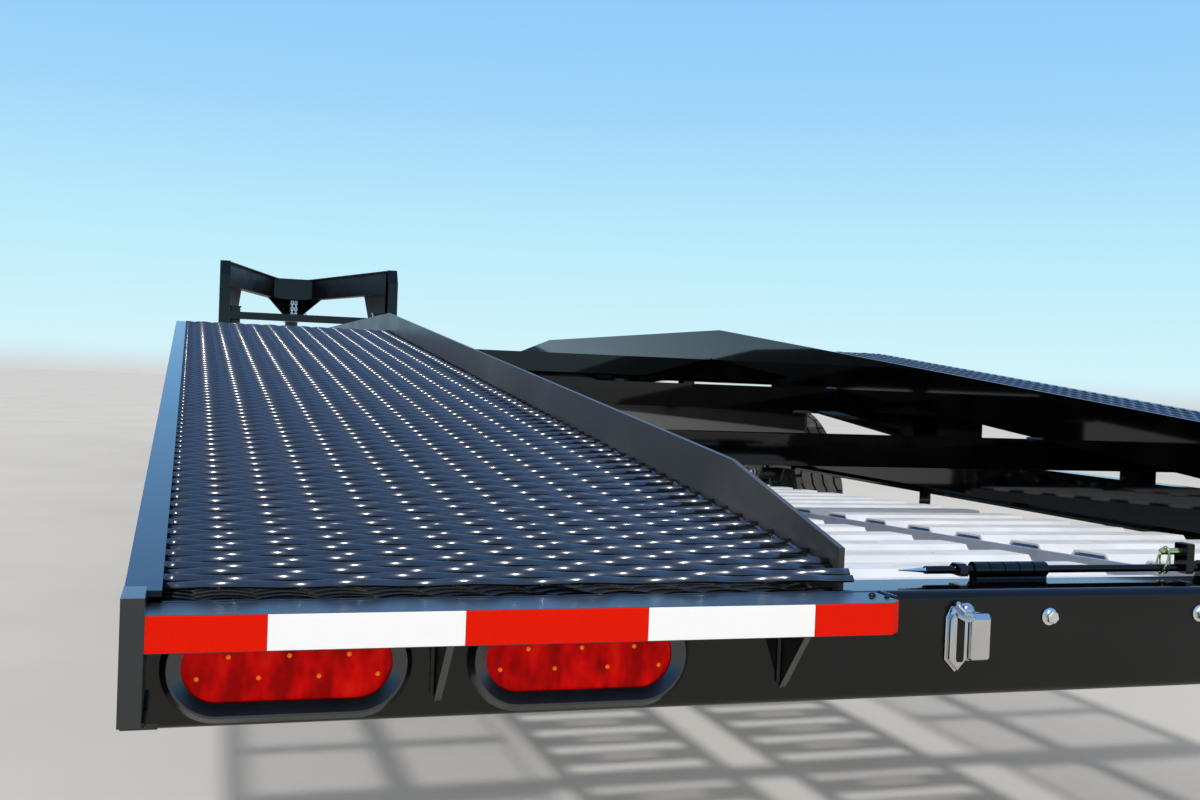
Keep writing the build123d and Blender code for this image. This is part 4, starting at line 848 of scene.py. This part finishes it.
AXLES = (("rear", 3640), ("front", 4505))
AXLE_HEIGHT = 402
TYRE_CENTRE = 167.5
LUG_COUNT = 44
LUG_STEPS = ((0, False), (0.04, True), (0.16, True), (0.2, False), (0.6, False))
GROOVES, GROOVE_DEPTH, GROOVE_ZIG = (66, 22), 9, 5
TREAD_RADIUS, DUST_RADIUS = 401.8, 396
SIDEWALL = [(82, 195.5), (92, 203), (91, 214), (95, 222), (104, 240), (112, 262), (116.6, 290), (117.2, 304),
            (114.5, 306), (115.5, 325), (112.5, 352), (108, 370), (104, 381)]
STUD_COUNT, STUD_RADIUS, STUD_SEAT = 8, 82.5, 14
NUT_SEAT = ((14, 0), (14, 2.5), (12.5, 3))
NUT = ((11.4, 2), (12, 3.2), (12, 15), (9.5, 18.5), (3, 20))
HUB_CAP_REACH = 0.06
HUB_CAP = ((40.5, -8), (40.5, -2), (38, 0), (37, 8), (34.5, 10.6), (33, 10.8), (31, 11.6), (12, 12.4), (10, 12))
VALVE_TURN, VALVE_RADIUS, VALVE_REACH = radians(22.5), 172, 55
VALVE = ((6.5, 0), (6, 4), (4, 7), (4, 24), (4.6, 25), (4.6, 32), (3, 33))


def wheels():
    """Each wheel's label, side and hub."""
    return [(f"{end}_{name}", side, place(TYRE_CENTRE, station, AXLE_HEIGHT, side))
            for end, station in AXLES for name, side in SIDES]


def tyre_profile(cut, lug):
    """A tyre's section at one angle; cut says whether a cross groove runs there."""
    zig = GROOVE_ZIG if lug % 2 else -GROOVE_ZIG
    depth = GROOVE_DEPTH if cut else 0
    shoulder = [(102.5, 387 - depth * 0.6), (96, 394 - depth), (91, 400.2 - depth), (74 + zig, 401.5 - depth)]
    halves = []
    for way in (1, -1):
        half = [(way * x, r) for x, r in SIDEWALL + shoulder]
        for groove in GROOVES:
            middle = way * groove + zig
            half += [(middle + way * 4, TREAD_RADIUS - depth * (groove == GROOVES[0])),
                     (middle + way * 2.5, TREAD_RADIUS - GROOVE_DEPTH),
                     (middle - way * 2.5, TREAD_RADIUS - GROOVE_DEPTH), (middle - way * 4, 401.9)]
        halves.append(half)
    return halves[0] + halves[1][::-1]


def make_tyres():
    """Tyres with zigzag grooves and cross-cut shoulders, dusty where they touch the ground."""
    for label, side, hub in wheels():
        rings = []
        for lug in range(LUG_COUNT):
            for share, cut in LUG_STEPS:
                turn = 2 * pi * (lug + share) / LUG_COUNT
                rings.append([hub + mm(side * x, -r * sin(turn), r * cos(turn))
                              for x, r in tyre_profile(cut, lug)])
        piece = Piece(TYRE, DUSTY_TYRE)
        piece.add(skin(rings, closed=True))
        radii = [(point - hub).yz.length * 1000 for point in piece.verts]
        piece.marks = [int(min(radii[k] for k in face) > DUST_RADIUS) for face in piece.faces]
        piece.make(f"tyre_tread_{label}", "tyre_rubber", f"wheel_{label}_body", 32, f"tyre_{label}")


def make_wheel_fittings():
    """Lug nuts, a ribbed hub cap and a valve stem on each wheel."""
    for label, side, hub in wheels():
        out = RIGHT * side
        piece = Piece(CHROME, RUBBER)
        for k in range(STUD_COUNT):
            turn = 2 * pi * (k + 0.5) / STUD_COUNT
            seat = hub + mm(side * STUD_SEAT, STUD_RADIUS * sin(turn), STUD_RADIUS * cos(turn))
            piece.add(lathe(NUT_SEAT, seat, out, 20), lathe(NUT, seat, out, 6))
        piece.add(lathe(HUB_CAP, hub + out * HUB_CAP_REACH, out, 36))
        foot = hub + mm(side * VALVE_REACH, VALVE_RADIUS * sin(VALVE_TURN), VALVE_RADIUS * cos(VALVE_TURN))
        piece.add(lathe(VALVE, foot, out, 14), material=1)
        piece.make(f"wheel_fittings_{label}", "wheel_steel", f"wheel_{label}_body")


# Running gear. Each hanger bolt is a station, a height and how far its ends are from the spring's middle

RAIL_CENTRE, SPRING_TOP = 857, 501
U_BOLT_HALF, U_BOLT_RADIUS = 44, 0.006
U_BOLT_HEIGHTS = (530, 500, 470, 440, 415)
HANGER_BOLTS = ((3310, 571, 48), (4835, 571, 48), (4072.5, 541, 48), (3970, 571, 46), (3970, 511, 46),
                (4175, 571, 46), (4175, 511, 46))


def u_bolt(inward, station, side):
    """A U-bolt round an axle, both of its legs reaching up past the spring."""
    path = [place(inward, station - U_BOLT_HALF, height, side) for height in U_BOLT_HEIGHTS]
    for turn in [pi * k / 12 for k in range(13)]:
        path.append(place(inward, station - U_BOLT_HALF * cos(turn),
                          AXLE_HEIGHT - U_BOLT_HALF * sin(turn), side))
    path += [place(inward, station + U_BOLT_HALF, height, side) for height in reversed(U_BOLT_HEIGHTS)]
    return tube(path, U_BOLT_RADIUS, sides=10)


def axle_fittings(piece, side):
    """U-bolts with their plates and nuts round each axle, and bolt heads at the hangers."""
    inward = HALF * 1000 - RAIL_CENTRE
    for end, station in AXLES:
        for across in (inward - U_BOLT_HALF, inward + U_BOLT_HALF):
            piece.add(u_bolt(across, station, side))
            for way in (-U_BOLT_HALF, U_BOLT_HALF):
                piece.add(*hex_bolt(place(across, station + way, SPRING_TOP + 10, side), UP, 19, 2))
        plate = rounded(100, 106, 6)
        seat = place(inward, station, SPRING_TOP, side)
        piece.add(prism(plate, seat, RIGHT, FORWARD, depth=10, edge=1), material=1)
    for station, height, reach in HANGER_BOLTS:
        for way, washer in ((-1, 1), (1, 0)):
            seat = place(inward, station, height, side)
            seat.x += way * reach / 1000
            piece.add(*hex_bolt(seat, RIGHT * way, 19, washer))


# Neck, coupler and jacks

COUPLER_Y = REAR_Y + 15.393
SCREW_HEIGHTS, SCREW_TURNS = (1350, 1430), (radians(-60), radians(60))
SET_SCREW_END = ((8, 0), (8, 30), (6.5, 33))
BAND, BAND_HEIGHTS = ((69.2, -3), (71.2, -1), (71.2, 3), (69.2, 5)), (1012, 1126)
COLLAR, COLLAR_HEIGHT = ((78, -4), (80.5, -1), (80.5, 3), (77, 7)), 1.281
NECK_BOTTOM, NECK_TOP = 1700, 1950
UPRIGHT_Y, HEAD_Y = REAR_Y + 13.005, REAR_Y + 15.251
UPRIGHT_EDGES = ((1.325, 1.695), (1.712, 1.936))
POST_RADIUS, POST_TOP, POST_STEPS = 0.079, 1.698, 72
JACK_X, JACK_STATION, GEAR_HEIGHT = 741, 13084, 1.25
DROP_PIN = ((9, 0), (9, 14), (6, 15), (6, 30), (10, 31), (10, 35), (8, 36))
PIN_REACH, PIN_HEIGHT, PULL_RING = 0.0515, 0.6, 0.022
GEAR_COVER = ((30, -2), (30, 3), (20, 5), (18, 9), (14, 10))
GEAR_FACE, GEAR_BOLTS = 0.111, ((-33, -52), (33, -52), (-33, 52), (33, 52))
JACK_BOLT_HEIGHTS = (0.85, 1.25)
GRIP_X, GRIP_HEIGHT, GRIP_RIBS, GRIP_PITCH = -0.974, 1.02, 12, 9


def make_coupler_fittings():
    """Set screws with jam nuts in the coupler post, bands round the socket and a collar on the post."""
    piece = Piece(ZINC, PAINT)
    centre = Vector((0, COUPLER_Y, 0))
    for height in SCREW_HEIGHTS:
        for turn in SCREW_TURNS:
            way = Vector((sin(turn), cos(turn), 0))
            seat = centre + way * 0.075 + UP * height / 1000
            piece.add(*hex_bolt(seat, way, 24, 6), lathe(SET_SCREW_END, seat, way, 14))
    for height in BAND_HEIGHTS:
        piece.add(lathe(BAND, centre + UP * height / 1000, UP, 40), material=1)
    piece.add(lathe(COLLAR, centre + UP * COLLAR_HEIGHT, UP, 40), material=1)
    piece.make("coupler_fittings", "zinc_steel")


def make_neck_welds():
    """Beads round the neck beams' ends, the knees and the coupler head."""
    piece = Piece(PAINT)

    def add_bead(x0, z0, x1, z1, y):
        piece.add(bead(Vector((x0, y, z0)), Vector((x1, y, z1)), 5))

    for side in (-1, 1):
        x = side * RAIL_CENTRE / 1000
        for z in ((NECK_BOTTOM - 1) / 1000, (NECK_TOP - 12) / 1000):
            add_bead(x - 0.05, z, x + 0.05, z, UPRIGHT_Y)
        for edge in (x - 0.007, x + 0.007):
            for low, high in UPRIGHT_EDGES:
                add_bead(edge, low, edge, high, UPRIGHT_Y)
        for z in ((NECK_BOTTOM + 12) / 1000, (NECK_TOP - 12) / 1000):
            add_bead(side * 0.183, z, side * 0.277, z, HEAD_Y)
    post = [Vector((POST_RADIUS * c, COUPLER_Y + POST_RADIUS * s, POST_TOP))
            for c, s in circle(POST_STEPS)]
    sizes = [0.005 * (1 if k % 2 else BEAD_WAIST) for k in range(POST_STEPS)]
    piece.add(tube(post, sizes, sides=6, closed=True))
    piece.make("neck_welds", "frame_black")


def make_jack_fittings():
    """Drop pins with pull rings, gearbox bolts and covers, mounting bolts, a ribbed grip on the crank."""
    piece = Piece(ZINC, RUBBER)
    y = REAR_Y + JACK_STATION / 1000
    for side in (-1, 1):
        x, out = side * JACK_X / 1000, RIGHT * side
        pin = Vector((x, y, PIN_HEIGHT)) + out * PIN_REACH
        ring = [pin + out * 0.033 + Vector((0, PULL_RING * s, PULL_RING * c - PULL_RING))
                for c, s in circle(28)]
        piece.add(lathe(DROP_PIN, pin, out, 18), tube(ring, 0.0022, closed=True))
        face = x + side * GEAR_FACE
        for dy, dz in GEAR_BOLTS:
            seat = Vector((face, y + dy / 1000, GEAR_HEIGHT + dz / 1000))
            piece.add(*hex_bolt(seat, out, 10, 1))
        piece.add(lathe(GEAR_COVER, Vector((face, y, GEAR_HEIGHT)), out, 28))
        for height in JACK_BOLT_HEIGHTS:
            for dx in (-26, 26):
                seat = Vector(((side * RAIL_CENTRE + dx) / 1000, y - 0.051, height))
                piece.add(*hex_bolt(seat, FORWARD, 16, 2))
    ribs = [(radius, reach + n * GRIP_PITCH) for n in range(GRIP_RIBS)
            for radius, reach in ((14.5, 6), (15.5, 8.5), (14.5, 11))]
    piece.add(lathe([(13, 4)] + ribs + [(12.5, 119)], Vector((GRIP_X, y, GRIP_HEIGHT)), -RIGHT, 20), material=1)
    piece.make("jack_fittings", "zinc_steel")


# Stage and light. A sky's stops go from straight down, 0, past the horizon, 0.5, to straight up, 1

FLOOR_SIZE, FLOOR_DROP = 160, 0.001
FLOOR_COLOR, FLOOR_DARK, FLOOR_PALE = (0.64, 0.62, 0.585), (0.61, 0.59, 0.555), (0.66, 0.64, 0.605)
GROUND_GLOW = [(0.0, (0.62, 0.6, 0.585)), (0.495, (0.66, 0.655, 0.65))]
SKY = GROUND_GLOW + [(0.505, (0.66, 0.9, 0.97)), (0.55, (0.5, 0.84, 0.97)), (0.6, (0.35, 0.67, 0.965)),
                     (0.64, (0.29, 0.59, 0.955)), (1.0, (0.15, 0.38, 0.9))]
GLOSS_SKY = GROUND_GLOW + [(0.505, (0.62, 0.86, 1.0)), (0.53, (0.42, 0.74, 1.0)), (0.6, (0.25, 0.57, 1.0)),
                           (0.7, (0.22, 0.48, 0.98)), (1.0, (0.26, 0.43, 0.86))]
SOFT_LIGHT = (0.53, 0.55, 0.58)
SUN_ENERGY, SUN_COLOR = 1.75, (1.0, 0.975, 0.94)
SUN_TRAVEL, SUN_SPREAD = Vector((0.19, 0.45, -1.0)), radians(4.5)


def make_floor():
    """A pale floor of an even, soft tone."""
    bpy.ops.mesh.primitive_plane_add(size=FLOOR_SIZE, location=(0, 0, -FLOOR_DROP))
    floor = bpy.context.object
    floor.name = "floor"
    material, tree, inputs = new_material("floor", FLOOR_COLOR, 0.9, specular=0.2)
    tone = add_noise(tree, scale=0.8, detail=3.0)
    add_ramp(tree, tone, [(0.3, FLOOR_DARK), (0.7, FLOOR_PALE)], inputs["Base Color"])
    floor.data.materials.append(material)


def mix_shaders(tree, share, first, second):
    mix = add_node(tree, "MixShader", Fac=share)
    for shader, target in zip((first, second), mix.inputs[1:]):
        tree.links.new(shader, target)
    return mix.outputs["Shader"]


def make_sky():
    """Soft light from all round, a pale sky for the camera and clear pieces, and one for the gloss."""
    world = bpy.data.worlds.new("world")
    world.use_nodes = True
    bpy.context.scene.world = world
    tree = world.node_tree
    split = add_node(tree, "SeparateXYZ", Vector=add_node(tree, "TexCoord").outputs["Generated"])
    height = add_node(tree, "MapRange", Value=split.outputs["Z"])
    height.inputs["From Min"].default_value = -1.0
    soft = add_node(tree, "Background", Color=(*SOFT_LIGHT, 1))
    sky, gloss = tree.nodes["Background"], add_node(tree, "Background")
    for background, stops in ((sky, SKY), (gloss, GLOSS_SKY)):
        add_ramp(tree, height.outputs["Result"], stops, background.inputs["Color"])
    rays = add_node(tree, "LightPath").outputs
    seen = rays["Is Camera Ray"]
    for kind in ("Is Glossy Ray", "Is Transmission Ray"):
        either = add_node(tree, "Math")
        either.operation = "MAXIMUM"
        tree.links.new(seen, either.inputs[0])
        tree.links.new(rays[kind], either.inputs[1])
        seen = either.outputs["Value"]
    shown = mix_shaders(tree, rays["Is Glossy Ray"], sky.outputs["Background"], gloss.outputs["Background"])
    light = mix_shaders(tree, seen, soft.outputs["Background"], shown)
    tree.links.new(light, tree.nodes["World Output"].inputs["Surface"])


def make_sun():
    sun = bpy.data.lights.new("sun", "SUN")
    sun.energy = SUN_ENERGY
    sun.angle = SUN_SPREAD
    sun.color = SUN_COLOR
    lamp = bpy.data.objects.new("sun", sun)
    lamp.rotation_euler = SUN_TRAVEL.to_track_quat("-Z", "Y").to_euler()
    bpy.context.collection.objects.link(lamp)


make_camera()
dress_nodes()
make_pair("expanded_metal_rear", "tread_black", expanded_metal, TREAD_PAINT, angle=180,
          args=(TREAD_LOW.y, CREST_Y, FINE_SECTION, 5), stands_for="tread_{}")
make_pair("expanded_metal_front", "tread_black", expanded_metal, TREAD_PAINT, angle=180,
          args=(CREST_Y, TREAD_HIGH.y, PLAIN_SECTION, 3), stands_for="tread_{}")
make_pair("tread_welds", "tread_black", tread_welds, TREAD_PAINT, angle=180)
make_outer_rails()
make_tape()
make_lenses()
make_plate_lamp()
make_pair("marker_amber", "amber_lens", markers, RUBBER, AMBER_LENS, args=(6200, 12500))
make_pair("marker_red", "red_lens", markers, RUBBER, RED_LENS, args=(420,))
make_plate_bolts()
make_pair("keeper_rod", "frame_black", keeper, PAINT, ZINC, body="keeper_{}_body", stands_for="keeper_{}")
make_pair("lynch_pin", "zinc_steel", keeper_pin, YELLOW_ZINC, body="keeper_{}_body")
make_pair("frame_welds", "frame_black", frame_welds, PAINT)
make_pair("barrel_welds", "frame_black", barrel_welds, PAINT)
make_pair("ramp_welds", "ramp_aluminium", ramp_welds, ALUMINIUM, angle=25)
# The end caps' blue is a painted sky reflection.
make_pair("ramp_caps", "ramp_aluminium", ramp_caps, SKY_TINTED_CAP_ALUMINIUM, angle=20)
make_pair("shaded_ramp_webs", "ramp_aluminium", shaded_ramp_webs, SHADED_WEB_ALUMINIUM, angle=25)
make_tyres()
make_wheel_fittings()
make_pair("axle_fittings", "running_gear_black", axle_fittings, ZINC, GEAR_PAINT)
make_coupler_fittings()
make_neck_welds()
make_jack_fittings()
make_floor()
make_sky()
make_sun()
bpy.context.scene.view_settings.view_transform = "Standard"
